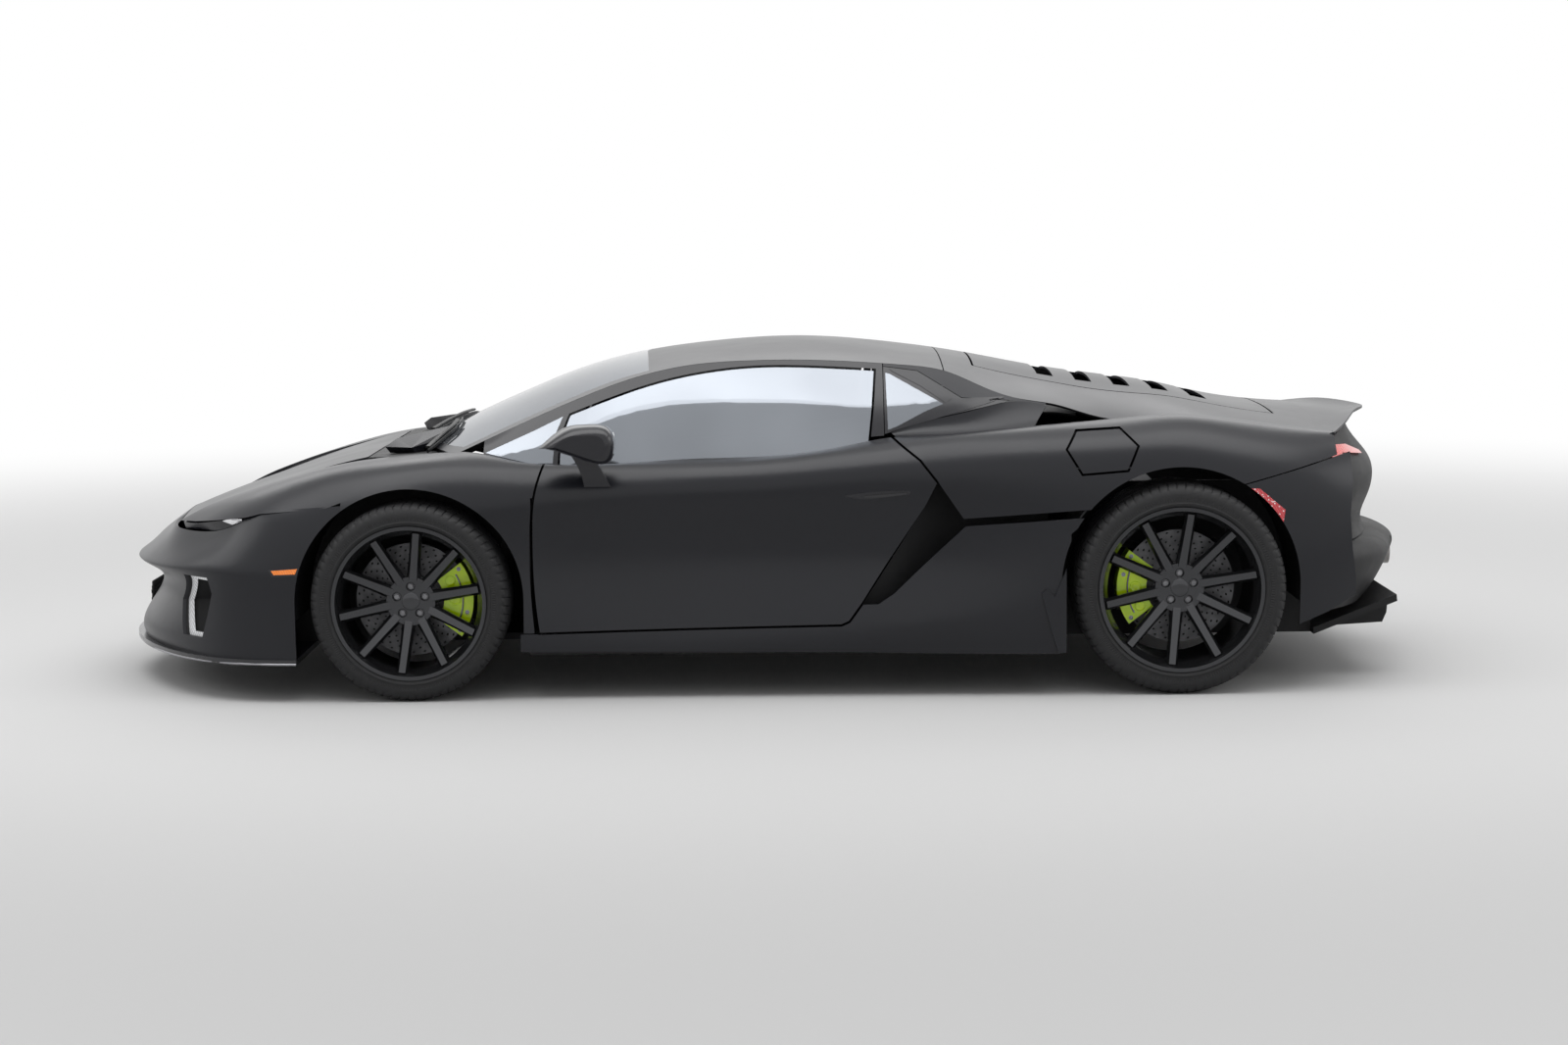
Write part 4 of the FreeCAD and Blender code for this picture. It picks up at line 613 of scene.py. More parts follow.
# Lower and upper edges as (x, z) in mm of what lies on the car's flank
# The handle pocket is a gloss black sheet on the door skin: painted shade of the recessed pocket
HANDLE_POCKET_SHADE = ([(283, 695), (325, 685), (361, 683), (508, 700)],
                 [(283, 697), (360, 708), (428, 713), (508, 713)])
HANDLE_LEVER = ([(352, 690), (430, 692), (496, 700)], [(352, 696), (430, 702), (496, 707)])
SAIL_WEDGE = ([(450, 902), (587, 938), (723, 974), (850, 1009)],
              [(452, 909), (570, 968), (683, 1011), (850, 1014)])
GLASS_VENT = ([(461, 1104), (557, 1055), (645, 996)], [(450, 1112), (574, 1090), (668, 1012)])
LAMP_TRIANGLE = ([(-1882, 616), (-1846, 606), (-1806, 622)], [(-1882, 619), (-1846, 625), (-1806, 629)])
AMBER_MARKER = ([(-1682, 446), (-1607, 449)], [(-1692, 460), (-1600, 467)])


class CAR_OT_trim(bpy.types.Operator):
    """Splitter's edge, door handle levers with a gloss black sheet painted as the shade of their
    pockets, and the gloss black behind the side glass
    """
    bl_idname = "car.trim"
    bl_label = "Trim"

    def execute(self, context):
        black = black_gloss()
        edge = paint_finish("edge_lacquer", (0.30, 0.30, 0.32), 0.2, 0.3, 0.6)
        half = [Vector((x, y, EDGE_HEIGHT)) * MM for x, y in EDGE_PLAN]
        line = [Vector((p.x, -p.y, p.z)) for p in half[:0:-1]] + half
        swept("splitter_edge", rounded_line(line), flat_section(5 * MM, 7 * MM, 1.5 * MM), "body",
              edge)
        door = Skin(["door_left"], 1, -2.0)
        # Gloss black sheet painted as the shade inside the handle pocket
        door.ribbons("handle_pocket_shade", HANDLE_POCKET_SHADE, 1.2, 3.0, "door_left", black)
        door.ribbons("door_lever", HANDLE_LEVER, 4.0, 1.0, "door_left",
                     bpy.data.materials["blade_paint"], across=3)
        flank = Skin(["sail_panels", "quarter_panel_left", "window_frames", "fixed_side_glass",
                      "engine_cover", "roof", "rear_deck", "frames", "tub"], 1, -2.0)
        flank.ribbons("sail_wedge", SAIL_WEDGE, 1.5, 2.0, "body", black)
        flank.ribbons("side_glass_vent", GLASS_VENT, 1.5, 2.0, "body", black)
        return {"FINISHED"}


def rounded_line(line, steps=8):
    """Smooth line through points."""
    made = []
    last = len(line) - 1
    for k in range(last):
        before, a, b, after = (line[max(k - 1, 0)], line[k], line[k + 1], line[min(k + 2, last)])
        for n in range(steps):
            t = n / steps
            made.append(0.5 * ((2 * a) + (b - before) * t + (2 * before - 5 * a + 4 * b - after) * t ** 2
                               + (3 * a - before - 3 * b + after) * t ** 3))
    return made + [line[-1]]


# Wiper lines as (x, y) in mm, and how far blade and arm stand above the glass
WIPERS = (("wiper_near", [(-1190, -590), (-1160, -470), (-1120, -360), (-1108, -250), (-1112, -120)]),
          ("wiper_far", [(-1215, -110), (-1178, 0), (-1130, 130), (-1105, 260), (-1100, 390)]))
BLADE_RISE = 9
ARM_RISE = 24
# Corners of the black cover over the wiper's pivot, in mm
WIPER_COVER = [(-1345, -560, 850), (-1310, -500, 875), (-1215, -420, 893), (-1104, -300, 912),
               (-1140, -330, 880), (-1176, -450, 862), (-1251, -560, 846), (-1330, -540, 826),
               (-1200, -380, 826), (-1120, -330, 850), (-1240, -540, 824)]


class CAR_OT_wipers(bpy.types.Operator):
    """Wipers at the foot of the windscreen"""
    bl_idname = "car.wipers"
    bl_label = "Wipers"

    def execute(self, context):
        rubber = grained_finish("wiper_black", (0.012, 0.012, 0.012), 0.42)
        screen = Skin(["windscreen", "cowl", "roof"], 2, 2.0)
        for name, line in WIPERS:
            met = [screen.meet(x, y) for x, y in line]
            blade = rounded_line([hit + normal * BLADE_RISE * MM for hit, normal in met])
            arm = rounded_line([hit + normal * ARM_RISE * MM for hit, normal in met[:4]])
            swept(name + "_blade", blade, flat_section(7 * MM, 14 * MM, 2 * MM), "body", rubber)
            swept(name + "_arm", arm, flat_section(16 * MM, 8 * MM, 2 * MM), "body", rubber)
        shell = bmesh.new()
        for point in WIPER_COVER:
            shell.verts.new(Vector(point) * MM)
        made = bmesh.ops.convex_hull(shell, input=shell.verts)
        loose = [part for part in made["geom_interior"] + made["geom_unused"]
                 if isinstance(part, bmesh.types.BMVert)]
        bmesh.ops.delete(shell, geom=list(set(loose)), context="VERTS")
        bmesh.ops.bevel(shell, geom=shell.edges[:], offset=3 * MM, segments=2, affect="EDGES",
                        clamp_overlap=True)
        points = [vert.co.copy() for vert in shell.verts]
        order = {vert: k for k, vert in enumerate(shell.verts)}
        faces = [tuple(order[vert] for vert in face.verts) for face in shell.faces]
        shell.free()
        cover = piece_of("wiper_cover_left", points, faces, "body", black_gloss(), 0.3)
        twin(cover, "wiper_cover_right", "body")
        return {"FINISHED"}


# Loops of (y, z) in mm that the nose's nets fill, and the nets' places and bars
CORNER_DUCT = [(752, 219), (826, 219), (860, 366), (849, 417), (752, 417), (708, 330)]
CORNER_NET_PLACE = -1856
MIDDLE_DUCT = [(-178, 208), (178, 208), (150, 322), (-150, 322)]
MIDDLE_NET_HEIGHT = 262.0
NET_STAND = 10
NET_BAR = 1.7
NET_DEPTH = 8.0


class CAR_OT_nets(bpy.types.Operator):
    """Hexagon nets of the nose intakes"""
    bl_idname = "car.nets"
    bl_label = "Intake nets"

    def execute(self, context):
        for side, sign in SIDES:
            self.net("corner_net_" + side, [(sign * y, z) for y, z in CORNER_DUCT], CORNER_NET_PLACE)
        face = Skin(["front_grilles"], 0, -3.0).meet(0.0, MIDDLE_NET_HEIGHT)[0].x / MM
        self.net("middle_net", MIDDLE_DUCT, face - NET_STAND)
        return {"FINISHED"}

    def net(self, name, loop, front):
        """Net inside a loop of (y, z) places, with its front at one x, in mm."""
        cell = sizes().net_cell / MM
        honeycomb(name, lambda u, v: within(loop, u, v, cell * 0.42), bounds_of(loop), cell, NET_BAR,
                  NET_DEPTH, lambda u, v, back: Vector((front + back, u, v)) * MM, black_moulding())


def bounds_of(loop):
    return (min(u for u, v in loop), min(v for u, v in loop),
            max(u for u, v in loop), max(v for u, v in loop))


def within(loop, u, v, margin):
    """True if a place lies inside a loop and at least the margin from its edges."""
    inside = False
    for (ax, ay), (bx, by) in zip(loop, loop[1:] + loop[:1]):
        if (ay > v) != (by > v) and u < (bx - ax) * (v - ay) / (by - ay) + ax:
            inside = not inside
        run = Vector((bx - ax, by - ay))
        share = max(0.0, min(1.0, Vector((u - ax, v - ay)).dot(run) / run.length_squared))
        if (Vector((ax, ay)) + run * share - Vector((u, v))).length < margin:
            return False
    return inside


# Lower and upper edges of the mirror's glass as (y, z) in mm
MIRROR_GLASS = ([(-1080, 862), (-1010, 852), (-945, 862)], [(-1080, 912), (-1010, 930), (-945, 918)])


class CAR_OT_glazing(bpy.types.Operator):
    """Windscreen, side windows and the mirrors' glass"""
    bl_idname = "car.glazing"
    bl_label = "Glazing"

    def execute(self, context):
        wear(GLASS, glass_finish("silvered_glass", colours().glass, 0.86))
        mirror = metal_finish("mirror_silver", (0.86, 0.87, 0.88), 0.06)
        head = Skin(["mirror_left"], 0, 1.0)
        head.ribbons("mirror_glass", MIRROR_GLASS, 0.8, 1.0, "door_left", mirror,
                     along=12)
        return {"FINISHED"}


# Hub: its face stands off the brake disc, and rows are (radius, height over the face), in mm
HUB_STAND = 31.0
HUB_RADIUS = 86.0
HUB_THICKNESS = 18.0
HUB_EASE = 1.5
LUG_COUNT = 5
LUG_CIRCLE = 51.0
LUG_RECESS = 14.5
FLANGE_ROWS = [(84, -30), (84, -17.8)]
CAP_ROWS = [(31, -6), (31, 2), (29.5, 3.6), (24, 5.2), (12, 6.2), (2, 6.4)]
LUG_SEAT_ROWS = [(13, -19), (13, -13), (11.5, -11.5), (9.0, -11.5)]
LUG_HEAD_ROWS = [(10.5, -14), (10.5, -4.5), (9.2, -3.2), (5.6, -3.2), (5.2, -5.0), (2.0, -5.2)]
# Tread: how far its edge lies from the wall in mm, its grooves' and sipes' places as shares of its
# half width, its pitches round the tyre, how the sipes divide one, and how far they slant and cut
TREAD_EDGE = 52
GROOVES = (0.74, 0.25, -0.25, -0.74)
SHOULDER_START = 0.80
RIB_START = 0.30
RIB_END = 0.68
TREAD_PITCHES = 72
SIPE_SPANS = (0.0, 0.06, 0.14, 0.20)
SIPE_SLANT = 0.55
SHOULDER_SIPE = 3.6
RIB_SIPE = 2.4


class CAR_OT_wheels(bpy.types.Operator):
    """Lacquered rims with hubs and bolts, and treaded tyres"""
    bl_idname = "car.wheels"
    bl_label = "Wheels"

    def execute(self, context):
        rims = paint_finish("wheel_lacquer", colours().wheel, 0.15, 0.2, 0.85)
        steel = metal_finish("lug_steel", (0.20, 0.20, 0.21), 0.25)
        for end in ENDS:
            for side, sign in SIDES:
                name = end + "_" + side
                wear(["rim_" + name], rims)
                low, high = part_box("tyre_" + name)
                rim_low, rim_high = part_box("rim_" + name)
                centre = (low + high) / 2
                radius = (high.z - low.z) / 2
                rim = (rim_high.z - rim_low.z) / 2
                rubber = rubber_finish("rubber_" + name, (0.017, 0.017, 0.018), centre, radius, rim)
                tyre = self.tyre("treaded_tyre_" + name, "wheel_" + name, centre, radius,
                                 (high.y - low.y) / 2, rim, rubber)
                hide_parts("tyre_" + name)
                disc_low, disc_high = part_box("brake_disc_" + name)
                plane = (disc_high.y if sign > 0 else disc_low.y) + sign * HUB_STAND * MM
                middle = Vector((centre.x, plane, centre.z))
                self.hub_plate(name, middle, sign, rims)
                self.hub_details(name, middle, sign, rims, steel)
        return {"FINISHED"}

    def lug_spots(self):
        """Middles of the five bolts about the hub's own, in mm."""
        spins = [math.radians(90 + 360 * k / LUG_COUNT) for k in range(LUG_COUNT)]
        return [Vector((LUG_CIRCLE * math.cos(spin), LUG_CIRCLE * math.sin(spin))) for spin in spins]

    def hub_plate(self, name, middle, sign, lacquer):
        """Round plate with eased edges, pierced where the bolts sit."""
        loops = [(Vector((0.0, 0.0)), HUB_RADIUS, 80, -1.0)]
        loops += [(spot, LUG_RECESS, 24, 1.0) for spot in self.lug_spots()]
        points = []
        for height, ease in ((0.0, HUB_EASE), (-HUB_EASE, 0.0), (-HUB_THICKNESS, 0.0)):
            for spot, radius, count, way in loops:
                reach = radius + ease * way
                for k in range(count):
                    spin = math.tau * k / count
                    place = Vector((spot.x + reach * math.cos(spin), sign * height,
                                    spot.y + reach * math.sin(spin)))
                    points.append(place * MM + middle)
        counts = [count for spot, radius, count, way in loops]
        starts = [sum(counts[:k]) for k in range(len(counts))]
        total = sum(counts)
        flat = [[Vector((p.x, p.z, 0.0)) for p in points[start:start + count]]
                for start, count in zip(starts, counts)]
        faces = []
        for corners in tessellate_polygon(flat):
            faces.append(tuple(corners))
            faces.append(tuple(corner + 2 * total for corner in corners))
        for level in range(2):
            for start, count in zip(starts, counts):
                for k in range(count):
                    a = level * total + start + k
                    b = level * total + start + (k + 1) % count
                    faces.append((a, b, b + total, a + total))
        piece_of("hub_plate_" + name, points, faces, "wheel_" + name, lacquer, 0.5)

    def hub_details(self, name, middle, sign, lacquer, steel):
        """Flange behind the plate, centre cap and five hexagon bolts on their seats."""
        body = "wheel_" + name
        axis = (0, sign, 0)
        turned("hub_flange_" + name, middle, FLANGE_ROWS, body, lacquer, 48, axis)
        turned("centre_cap_" + name, middle, CAP_ROWS, body, lacquer, 48, axis)
        for k, spot in enumerate(self.lug_spots()):
            place = middle + Vector((spot.x, 0.0, spot.y)) * MM
            turned(f"lug_seat_{name}_{k}", place, LUG_SEAT_ROWS, body, steel, 24, axis)
            turned(f"lug_head_{name}_{k}", place, LUG_HEAD_ROWS, body, steel, 6, axis, 0.3)

    def tyre(self, name, body, centre, radius, half, rim, rubber):
        """Tyre turned about its axle, with round grooves, slanted sipes and a rim guard.

        Its profile is (distance from the axle, distance from the tyre's middle) in mm, up the outer
        wall, over the tread, down the inner wall and back through the hollow.
        """
        r = radius / MM
        h = half / MM
        edge = rim / MM
        deep = sizes().groove_depth / MM
        slot = sizes().groove_half / MM
        wall = [(edge - 11, h - 13), (edge - 1, h - 8.4), (edge + 5, h - 3.5), (edge + 9, h - 0.5),
                (edge + 14, h + 0.6), (edge + 17, h - 1.6), (edge + 20, h - 2.2), (r - 45, h - 0.4),
                (r - 34, h - 0.8), (r - 24, h - 4), (r - 16, h - 9), (r - 9, h - 16), (r - 4.5, h - 25),
                (r - 1.6, h - 36), (r - 0.3, h - 46)]
        reach = h - TREAD_EDGE
        tread = [(r, reach)]
        for share in GROOVES:
            middle = reach * share
            tread += [(r, middle + slot + 1), (r - deep, middle + slot - 1.5),
                      (r - deep, middle - slot + 1.5), (r, middle - slot - 1)]
        tread.append((r, -reach))
        back = [(depth, -out) for depth, out in reversed(wall)]
        hollow = [(edge - 11, -h + 30), (edge + 10, -h + 14), (r - 26, -h + 20), (r - 12, -h + 46),
                  (r - 12, h - 46), (r - 26, h - 20), (edge + 10, h - 14), (edge - 11, h - 30)]
        profile = wall + tread + back + hollow
        points = []
        for pitch in range(TREAD_PITCHES):
            for part, span in enumerate(SIPE_SPANS):
                for row, (depth, out) in enumerate(profile):
                    spin = (pitch + span + abs(out) / h * SIPE_SLANT) * math.tau / TREAD_PITCHES
                    cut = 0.0
                    if part in (1, 2) and depth > r - 20 and row < len(profile) - len(hollow):
                        shoulder = abs(out) > reach * SHOULDER_START
                        inner_rib = (pitch % 2 == 0
                                     and reach * RIB_START < abs(out) < reach * RIB_END)
                        cut = SHOULDER_SIPE if shoulder else RIB_SIPE if inner_rib else 0.0
                    points.append(Vector((centre.x + (depth - cut) * MM * math.cos(spin),
                                          centre.y + out * MM,
                                          centre.z + (depth - cut) * MM * math.sin(spin))))
        rows = len(profile)
        rings = TREAD_PITCHES * len(SIPE_SPANS)
        faces = []
        for i in range(rings):
            for j in range(rows):
                faces.append((i * rows + j, i * rows + (j + 1) % rows,
                              (i + 1) % rings * rows + (j + 1) % rows, (i + 1) % rings * rows + j))
        return piece_of(name, points, faces, body, rubber, 0.7)


# Calipers: bosses as (angle in degrees, radius in mm), their distance from the axle, and their
# rows as (inset from the edge, height) in mm, then angles and distances of bolts and pipe
BOSSES = ((-26, 18.0), (0, 20.0), (26, 18.0))
BOSS_RADIUS = 150
BOSS_ROWS = [(0, -3), (0, 1), (1.6, 3.4), (6, 4.2), (7.5, 3.2), (12, 3.0)]
BOLT_ANGLES = (-33, -13, 13, 33)
BOLT_RADIUS = 196
BOLT_ROWS = [(7.5, -3), (7.5, 0.6), (5.2, 1.0), (5.2, 4.0), (4.2, 5.0), (2.4, 5.0)]
PIPE_RADIUS = 178
PIPE_STAND = 3.2


class CAR_OT_brakes(bpy.types.Operator):
    """Brake discs, and calipers with their bosses, bolts and pipe"""
    bl_idname = "car.brakes"
    bl_label = "Brakes"

    def execute(self, context):
        lime = gloss_finish("caliper_lacquer", colours().caliper, 0.2)
        steel = metal_finish("bolt_steel", (0.24, 0.24, 0.25), 0.3)
        wear(["caliper_front_left", "caliper_front_right", "calipers_rear"], lime)
        for end in ENDS:
            for side, sign in SIDES:
                name = end + "_" + side
                low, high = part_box("brake_disc_" + name)
                centre = (low + high) / 2
                wear(["brake_disc_" + name],
                     disc_finish("disc_" + name, (0.11, 0.11, 0.115), centre))
                node = "calipers_rear" if end == "rear" else "caliper_" + name
                body = "knuckle_" + side if end == "front" else "body"
                box_low, box_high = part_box(node)
                face = box_high.y if sign > 0 else box_low.y
                facing = 1 if end == "front" else -1
                axis = (0, sign, 0)

                def spot(angle, radius, out=0.0):
                    spin = math.radians(angle)
                    return Vector((centre.x + facing * radius * MM * math.cos(spin),
                                   face + sign * out * MM, centre.z + radius * MM * math.sin(spin)))

                for k, (angle, size) in enumerate(BOSSES):
                    rows = [(size - inset, height) for inset, height in BOSS_ROWS]
                    turned(f"caliper_boss_{name}_{k}", spot(angle, BOSS_RADIUS), rows, body, lime,
                           32, axis)
                for k, angle in enumerate(BOLT_ANGLES):
                    turned(f"caliper_bolt_{name}_{k}", spot(angle, BOLT_RADIUS), BOLT_ROWS, body,
                           steel, 12, axis, 0.4)
                pipe = [spot(angle, PIPE_RADIUS, PIPE_STAND) for angle in range(-30, 31, 10)]
                swept("caliper_pipe_" + name, rounded_line(pipe, 4), round_section(2.6 * MM), body,
                      steel, up=(0, 1, 0))
        return {"FINISHED"}


class CAR_OT_chassis(bpy.types.Operator):
    """Tub, suspension, engine and exhausts"""
    bl_idname = "car.chassis"
    bl_label = "Chassis"

    def execute(self, context):
        wear(["tub"], grained_finish("tub_composite", (0.012, 0.012, 0.013), 0.6))
        wear(["knuckle_left", "knuckle_right", "front_wishbones", "rear_suspension"],
             metal_finish("forged_alloy", (0.30, 0.30, 0.31), 0.42))
        wear(["engine"], metal_finish("cast_alloy", (0.34, 0.34, 0.35), 0.5))
        wear(["exhausts"], metal_finish("exhaust_steel", (0.34, 0.33, 0.32), 0.22))
        return {"FINISHED"}


# Seats: middle of each in metres, then the shell's line as (x, z, share of its width), its half
# width, how far its wings turn forward, its wall and how much narrower its inside is, in mm, and
# the share of the half width where the wings start and how sharply they turn
SEAT_Y = 0.365
SEAT_PATH = [(-212, 262, 0.82), (-150, 226, 1.0), (60, 222, 1.0), (250, 224, 1.0), (345, 262, 1.0),
             (395, 380, 1.0), (442, 520, 1.0), (476, 640, 0.96), (504, 760, 0.82), (520, 860, 0.62),
             (528, 945, 0.5)]
SEAT_HALF = 226.0
SEAT_WING = 62.0
SEAT_WALL = 9.0
SEAT_DRAW = 6.0
WING_START = 0.72
WING_POWER = 1.6
# Pads as name, place (x, z) in mm, tilt in degrees, distance from the seat's middle in mm, then
# length, width and thickness in metres, and channels. Pads with channels are suede.
PADS = (("seat_base", 20, 284, -8, 0, 0.40, 0.30, 0.075, 4),
        ("seat_back", 338, 545, 108, 0, 0.50, 0.28, 0.075, 6),
        ("seat_head", 452, 850, 106, 0, 0.15, 0.21, 0.055, 1),
        ("base_bolster_in", 20, 300, -8, -172, 0.42, 0.075, 0.10, 1),
        ("back_bolster_in", 330, 535, 108, -172, 0.46, 0.08, 0.11, 1),
        ("base_bolster_out", 20, 300, -8, 172, 0.42, 0.075, 0.10, 1),
        ("back_bolster_out", 330, 535, 108, 172, 0.46, 0.08, 0.11, 1))
# Rails under a seat as name and distance from its middle, then their line and height, in mm
RAILS = (("in", -150), ("out", 150))
RAIL_LINE = (-160, 0, 240)
RAIL_HEIGHT = 196
# Dial hood's foot in metres and its arc as (y, z) about that, in mm, and the air vents' places and
# height on the dash
HOOD_FOOT = Vector((-0.60, -SEAT_Y, 0.778))
HOOD_ARC = [(-190, 0), (-175, 42), (-120, 66), (0, 76), (120, 66), (175, 42), (190, 0)]
VENT_PLACES = (-650, -160, 160, 650)
VENT_HEIGHT = 690
VENT_ROWS = [(40, -4), (40, 4), (34, 6), (31, 4), (28, 1), (8, 1), (6, 4), (2, 4)]
# Screens as name, middle in metres, width and height in mm, and tilt in degrees
SCREENS = (("dial_screen", (-0.625, -0.365, 0.798), 300, 84, 14),
           ("middle_screen", (-0.548, 0.0, 0.745), 190, 110, 38))


class CAR_OT_cabin(bpy.types.Operator):
    """Seats with sewn pads in hard shells, and the trimmed controls"""
    bl_idname = "car.cabin"
    bl_label = "Cabin"

    def execute(self, context):
        hide = hide_finish("cabin_hide", (0.020, 0.020, 0.022))
        suede = grained_finish("seat_suede", (0.026, 0.026, 0.029), 0.82, 2600.0, 0.0002, 0.2)
        wear(["dashboard", "steering_wheel"], hide)
        shells = []
        for side, sign in SIDES:
            y = SEAT_Y * sign
            shells.append(self.shell("seat_shell_" + side, y))
            self.pads(side, y, hide, suede)
        for shell in shells:
            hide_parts("seats")
        self.dials(hide)
        return {"FINISHED"}

    def shell(self, name, y):
        """Moulded bucket, its wings turned forward along both sides."""
        line = rounded_line([Vector(point) for point in SEAT_PATH], 4)
        outer = []
        inner = []
        for k, spot in enumerate(line):
            run = (line[min(k + 1, len(line) - 1)] - line[max(k - 1, 0)])
            front = Vector((-run.y, 0.0, run.x)).normalized()
            back_row = []
            front_row = []
            for step in range(17):
                v = step / 8.0 - 1.0
                turn = max(0.0, (abs(v) - WING_START) / (1.0 - WING_START)) ** WING_POWER
                wing = SEAT_WING * turn * min(1.0, spot.z)
                place = Vector((spot.x, 0.0, spot.y)) + front * wing
                across = y / MM + SEAT_HALF * v * spot.z
                back_row.append(Vector((place.x, across, place.z)) * MM)
                place += front * SEAT_WALL
                front_row.append(Vector((place.x, across - SEAT_DRAW * v, place.z)) * MM)
            outer.append(back_row)
            inner.append(front_row)
        points, faces = closed_grid(outer, inner)
        return piece_of(name, points, faces, "body", black_gloss(), 0.8)

    def pads(self, side, y, hide, suede):
        """Pads of the seat with its middle at y, and the rails under it."""
        for name, x, z, tilt, off, length, width, thickness, channels in PADS:
            place = (Matrix.Translation((x * MM, y + off * MM, z * MM))
                     @ Matrix.Rotation(-math.radians(tilt), 4, "Y"))
            cushion(name + "_" + side, place, length, width, thickness, channels,
                    suede if channels > 1 else hide)
        for edge, off in RAILS:
            rail = [Vector((x * MM, y + off * MM, RAIL_HEIGHT * MM)) for x in RAIL_LINE]
            swept(f"seat_rail_{edge}_{side}", rail, flat_section(36 * MM, 40 * MM, 4 * MM), "body",
                  black_moulding())

    def dials(self, hide):
        """Hood over the driver's dials, the dials' screen and the middle screen."""
        screen = gloss_finish("screen_black", (0.005, 0.005, 0.006), 0.06)
        line = rounded_line([HOOD_FOOT + Vector((0, a, b)) * MM for a, b in HOOD_ARC], 5)
        swept("dial_hood", line, flat_section(14 * MM, 120 * MM, 5 * MM), "body", hide,
              up=(1, 0, 0))
        for name, middle, wide, tall, tilt in SCREENS:
            turn = Matrix.Translation(middle) @ Matrix.Rotation(math.radians(-tilt), 4, "Y")
            line = [turn @ Vector((0, side * wide / 2 * MM, 0)) for side in (-1, 0, 1)]
            swept(name, line, flat_section(12 * MM, tall * MM, 4 * MM), "body", screen,
                  up=turn.to_3x3() @ Vector((0, 0, 1)))
        steel = metal_finish("vent_rim", (0.3, 0.3, 0.31), 0.3)
        dash = Skin(["dashboard"], 0, 1.0)
        for k, y in enumerate(VENT_PLACES):
            hit, normal = dash.meet(y, VENT_HEIGHT)
            turned(f"air_vent_{k}", hit, VENT_ROWS, "body", steel, 32, tuple(normal))


class CAR_OT_lamps(bpy.types.Operator):
    """Lenses, reflectors and markers of the lamps"""
    bl_idname = "car.lamps"
    bl_label = "Lamps"

    def execute(self, context):
        wear(["tail_lamps"], lens_finish("red_lens", (0.62, 0.02, 0.012), 0.35))
        white = lens_finish("white_guide", (0.80, 0.81, 0.83), 0.12)
        wear_where(["headlamps"], white, lambda centre, normal: centre.z < 0.5)
        silver = metal_finish("lamp_reflector", (0.80, 0.80, 0.82), 0.14)
        slit = Skin(["headlamps"], 1, -2.0)
        slit.ribbons("lamp_reflector", LAMP_TRIANGLE, 1.5, 1.0, "body", silver, along=12,
                     across=3)
        marks = Skin(["side_markers"], 1, -2.0)
        amber = lens_finish("amber_lens", (0.95, 0.22, 0.0), 0.25)
        marks.ribbons("amber_marker", AMBER_MARKER, 1.0, 1.0, "body", amber, along=10)
        # Red marker lenses with pale dots painted as the glints of their studs
        red = lens_finish("red_lens_painted_stud_glints", (0.55, 0.008, 0.02), 0.12, stud_glint_scale=95.0)
        wear_where(["side_markers"], red,
                   lambda centre, normal: centre.x > 0.0 and abs(normal.y) > 0.7)
        return {"FINISHED"}


# Camera: place in metres, angles in radians and lens in mm
CAMERA_PLACE = (0.0736, -10.6976, 1.6952)
CAMERA_PITCH = math.radians(6.37)
CAMERA_ROLL = math.radians(-0.60)
CAMERA_LENS = 65.5
# Lamps as name, place and size in metres, and power in watts
SOFTBOXES = (("strip_light", (0.0, -1.4, 4.6), (9.0, 2.6), 150.0),
             ("far_light", (0.0, 4.2, 4.6), (10.0, 2.6), 130.0),
             ("nose_light", (-6.5, -1.0, 3.2), (4.0, 2.0), 40.0),
             ("tail_light", (6.5, -1.0, 3.2), (4.0, 2.0), 40.0))
# Distances from the car in metres over which the floor turns paler, and over which the camera
# sees it turn into the background
PALER = (4.0, 20.0)
FADING = (3.2, 11.0)
SUN_STRENGTH = 0.5
SKY_STRENGTH = 0.45


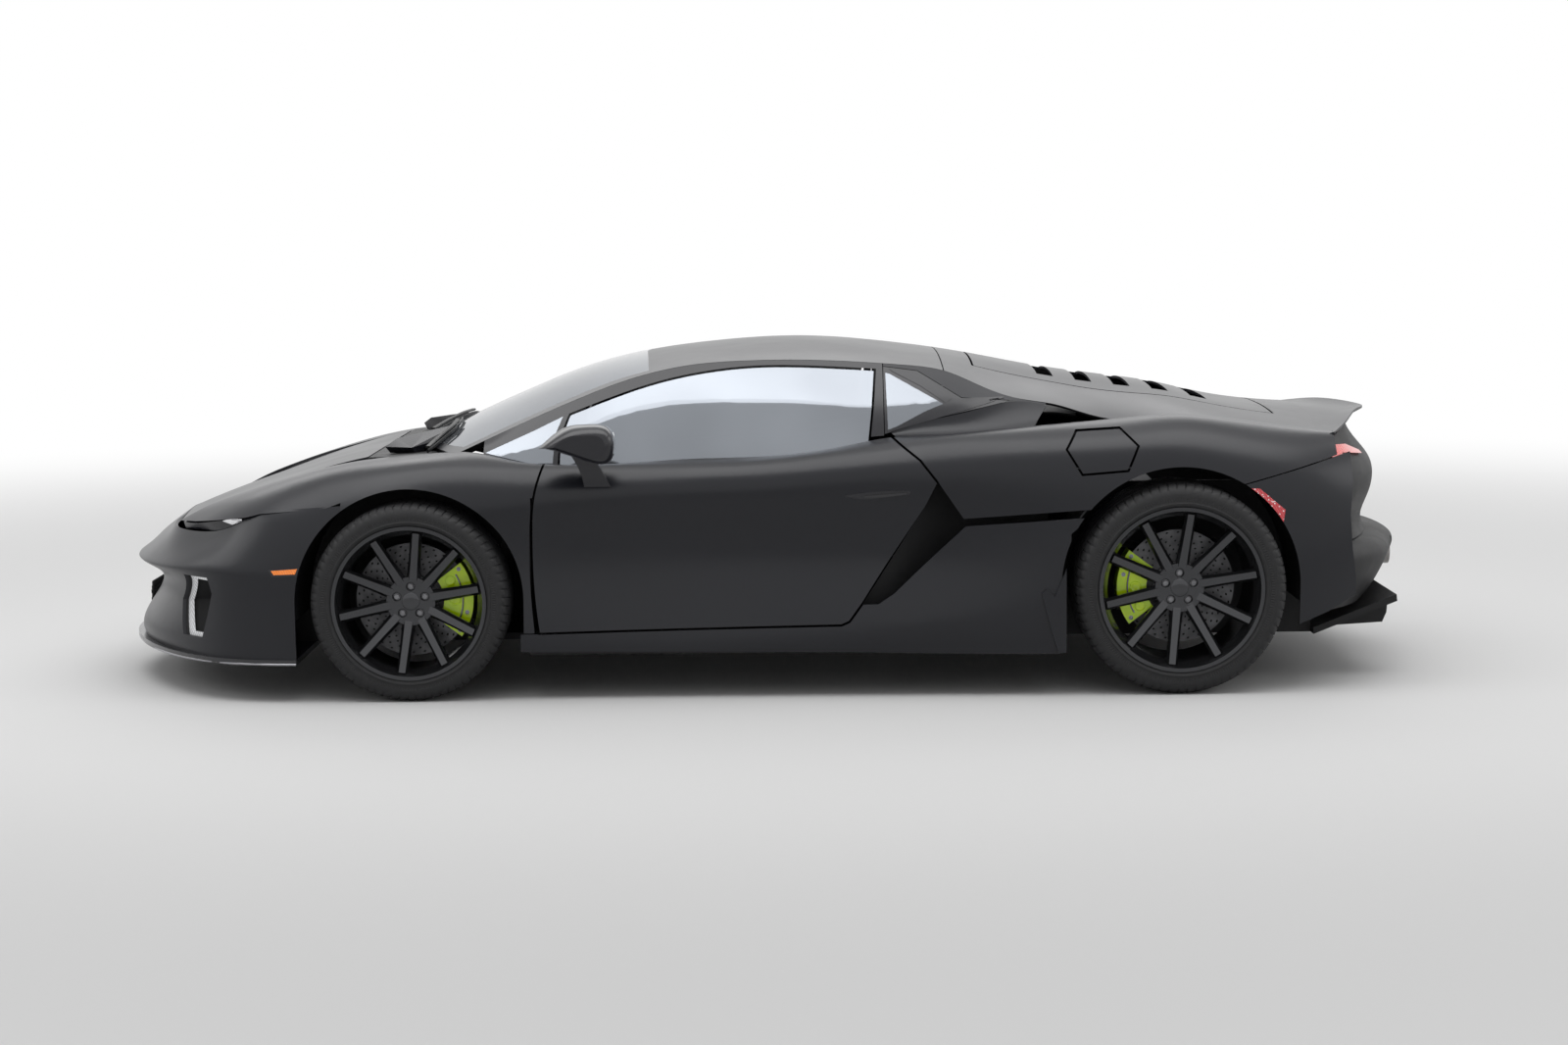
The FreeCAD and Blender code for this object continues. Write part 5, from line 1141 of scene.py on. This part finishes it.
class CAR_OT_stage(bpy.types.Operator):
    """Studio floor, soft lights and the camera"""
    bl_idname = "car.stage"
    bl_label = "Stage"

    def execute(self, context):
        half = sizes().floor_half
        mesh = bpy.data.meshes.new("studio_floor")
        mesh.from_pydata([(-half, -half, 0), (half, -half, 0), (half, half, 0), (-half, half, 0)],
                         [], [(0, 1, 2, 3)])
        floor = bpy.data.objects.new("studio_floor", mesh)
        context.scene.collection.objects.link(floor)

        def spread(place):
            paler = place.reach().between(*PALER)
            return {"Base Color": paler.mixed(rgba(colours().floor), rgba((0.97, 0.97, 0.97)))}
        paint = finish("floor_paint", {"Roughness": 0.8, "Specular IOR Level": 0.2}, spread)
        mesh.materials.append(paint)
        self.fade(paint)
        self.lamps(context)
        self.sky(context)
        self.camera(context)
        context.scene.view_settings.view_transform = "Standard"
        return {"FINISHED"}

    def lamps(self, context):
        """Soft boxes aimed at the car, and an even light from above."""
        for name, place, size, power in SOFTBOXES:
            lamp = bpy.data.lights.new(name, "AREA")
            lamp.shape = "RECTANGLE"
            lamp.size, lamp.size_y = size
            lamp.energy = power
            holder = bpy.data.objects.new(name, lamp)
            holder.location = place
            holder.rotation_euler = (Vector((0, 0, 0.4)) - Vector(place)).to_track_quat(
                "-Z", "Y").to_euler()
            context.scene.collection.objects.link(holder)
        sun = bpy.data.lights.new("even_light", "SUN")
        sun.energy = SUN_STRENGTH
        sun.angle = math.radians(60)
        holder = bpy.data.objects.new("even_light", sun)
        context.scene.collection.objects.link(holder)

    def camera(self, context):
        """Camera at the photograph's angle."""
        view = bpy.data.cameras.new("photo_view")
        view.sensor_width = 36.0
        view.lens = CAMERA_LENS
        camera = bpy.data.objects.new("photo_view", view)
        turn = Matrix.Rotation(math.radians(90) - CAMERA_PITCH, 4, "X")
        camera.matrix_world = Matrix.Translation(CAMERA_PLACE) @ turn @ Matrix.Rotation(
            CAMERA_ROLL, 4, "Z")
        context.scene.collection.objects.link(camera)
        context.scene.camera = camera

    def fade(self, paint):
        """Far from the car the camera sees the floor as white as the background."""
        tree = paint.node_tree
        start = Value(tree)
        far = start.node("ShaderNodeTexCoord", out="Object").reach().between(*FADING)
        shown = start.node("ShaderNodeLightPath", out="Is Camera Ray") * far
        white = start.node("ShaderNodeEmission", None, {"Color": (1, 1, 1, 1), "Strength": 1.0})
        plain = Value(tree, tree.nodes["Principled BSDF"].outputs[0])
        both = start.node("ShaderNodeMixShader", None, {0: shown, 1: plain, 2: white})
        tree.links.new(both.socket, tree.nodes["Material Output"].inputs["Surface"])

    def sky(self, context):
        """Pale light all round, and plain white where the camera or a reflection sees it."""
        world = bpy.data.worlds.new("studio")
        world.use_nodes = True
        tree = world.node_tree
        tree.nodes.clear()
        start = Value(tree)
        direct = start.node("ShaderNodeLightPath", out="Is Camera Ray")
        rays = direct.socket.node.outputs
        glossy = Value(tree, rays["Is Glossy Ray"])
        through = Value(tree, rays["Is Transmission Ray"])
        seen = direct.math("MAXIMUM", direct, glossy.math("MAXIMUM", glossy, through))
        soft = start.node("ShaderNodeBackground", None, {"Color": (1, 1, 1, 1),
                                                            "Strength": SKY_STRENGTH})
        white = start.node("ShaderNodeBackground", None, {"Color": (1, 1, 1, 1), "Strength": 1.0})
        both = start.node("ShaderNodeMixShader", None, {0: seen, 1: soft, 2: white})
        start.node("ShaderNodeOutputWorld", None, {"Surface": both})
        context.scene.world = world


PIECES = (CAR_OT_panels, CAR_OT_trim, CAR_OT_wipers, CAR_OT_nets, CAR_OT_glazing, CAR_OT_wheels,
          CAR_OT_brakes, CAR_OT_chassis, CAR_OT_cabin, CAR_OT_lamps, CAR_OT_stage)


class VIEW3D_PT_car(bpy.types.Panel):
    """Sidebar panel with the car's colours, sizes and pieces"""
    bl_idname = "VIEW3D_PT_car"
    bl_label = "Sports car"
    bl_space_type = "VIEW_3D"
    bl_region_type = "UI"
    bl_category = "Sports car"

    def draw(self, context):
        for group in (context.scene.car_colours, context.scene.car_sizes):
            for name in group.__annotations__:
                self.layout.prop(group, name)
        for piece in PIECES:
            self.layout.operator(piece.bl_idname)


CLASSES = (CarColours, CarSizes) + PIECES + (VIEW3D_PT_car,)


def register():
    for one in CLASSES:
        bpy.utils.register_class(one)
    bpy.types.Scene.car_colours = bpy.props.PointerProperty(type=CarColours)
    bpy.types.Scene.car_sizes = bpy.props.PointerProperty(type=CarSizes)


def unregister():
    del bpy.types.Scene.car_sizes
    del bpy.types.Scene.car_colours
    for one in reversed(CLASSES):
        bpy.utils.unregister_class(one)


def main():
    """Makes every piece in order."""
    register()
    for piece in PIECES:
        area, name = piece.bl_idname.split(".")
        getattr(getattr(bpy.ops, area), name)()


if __name__ == "__main__":
    main()
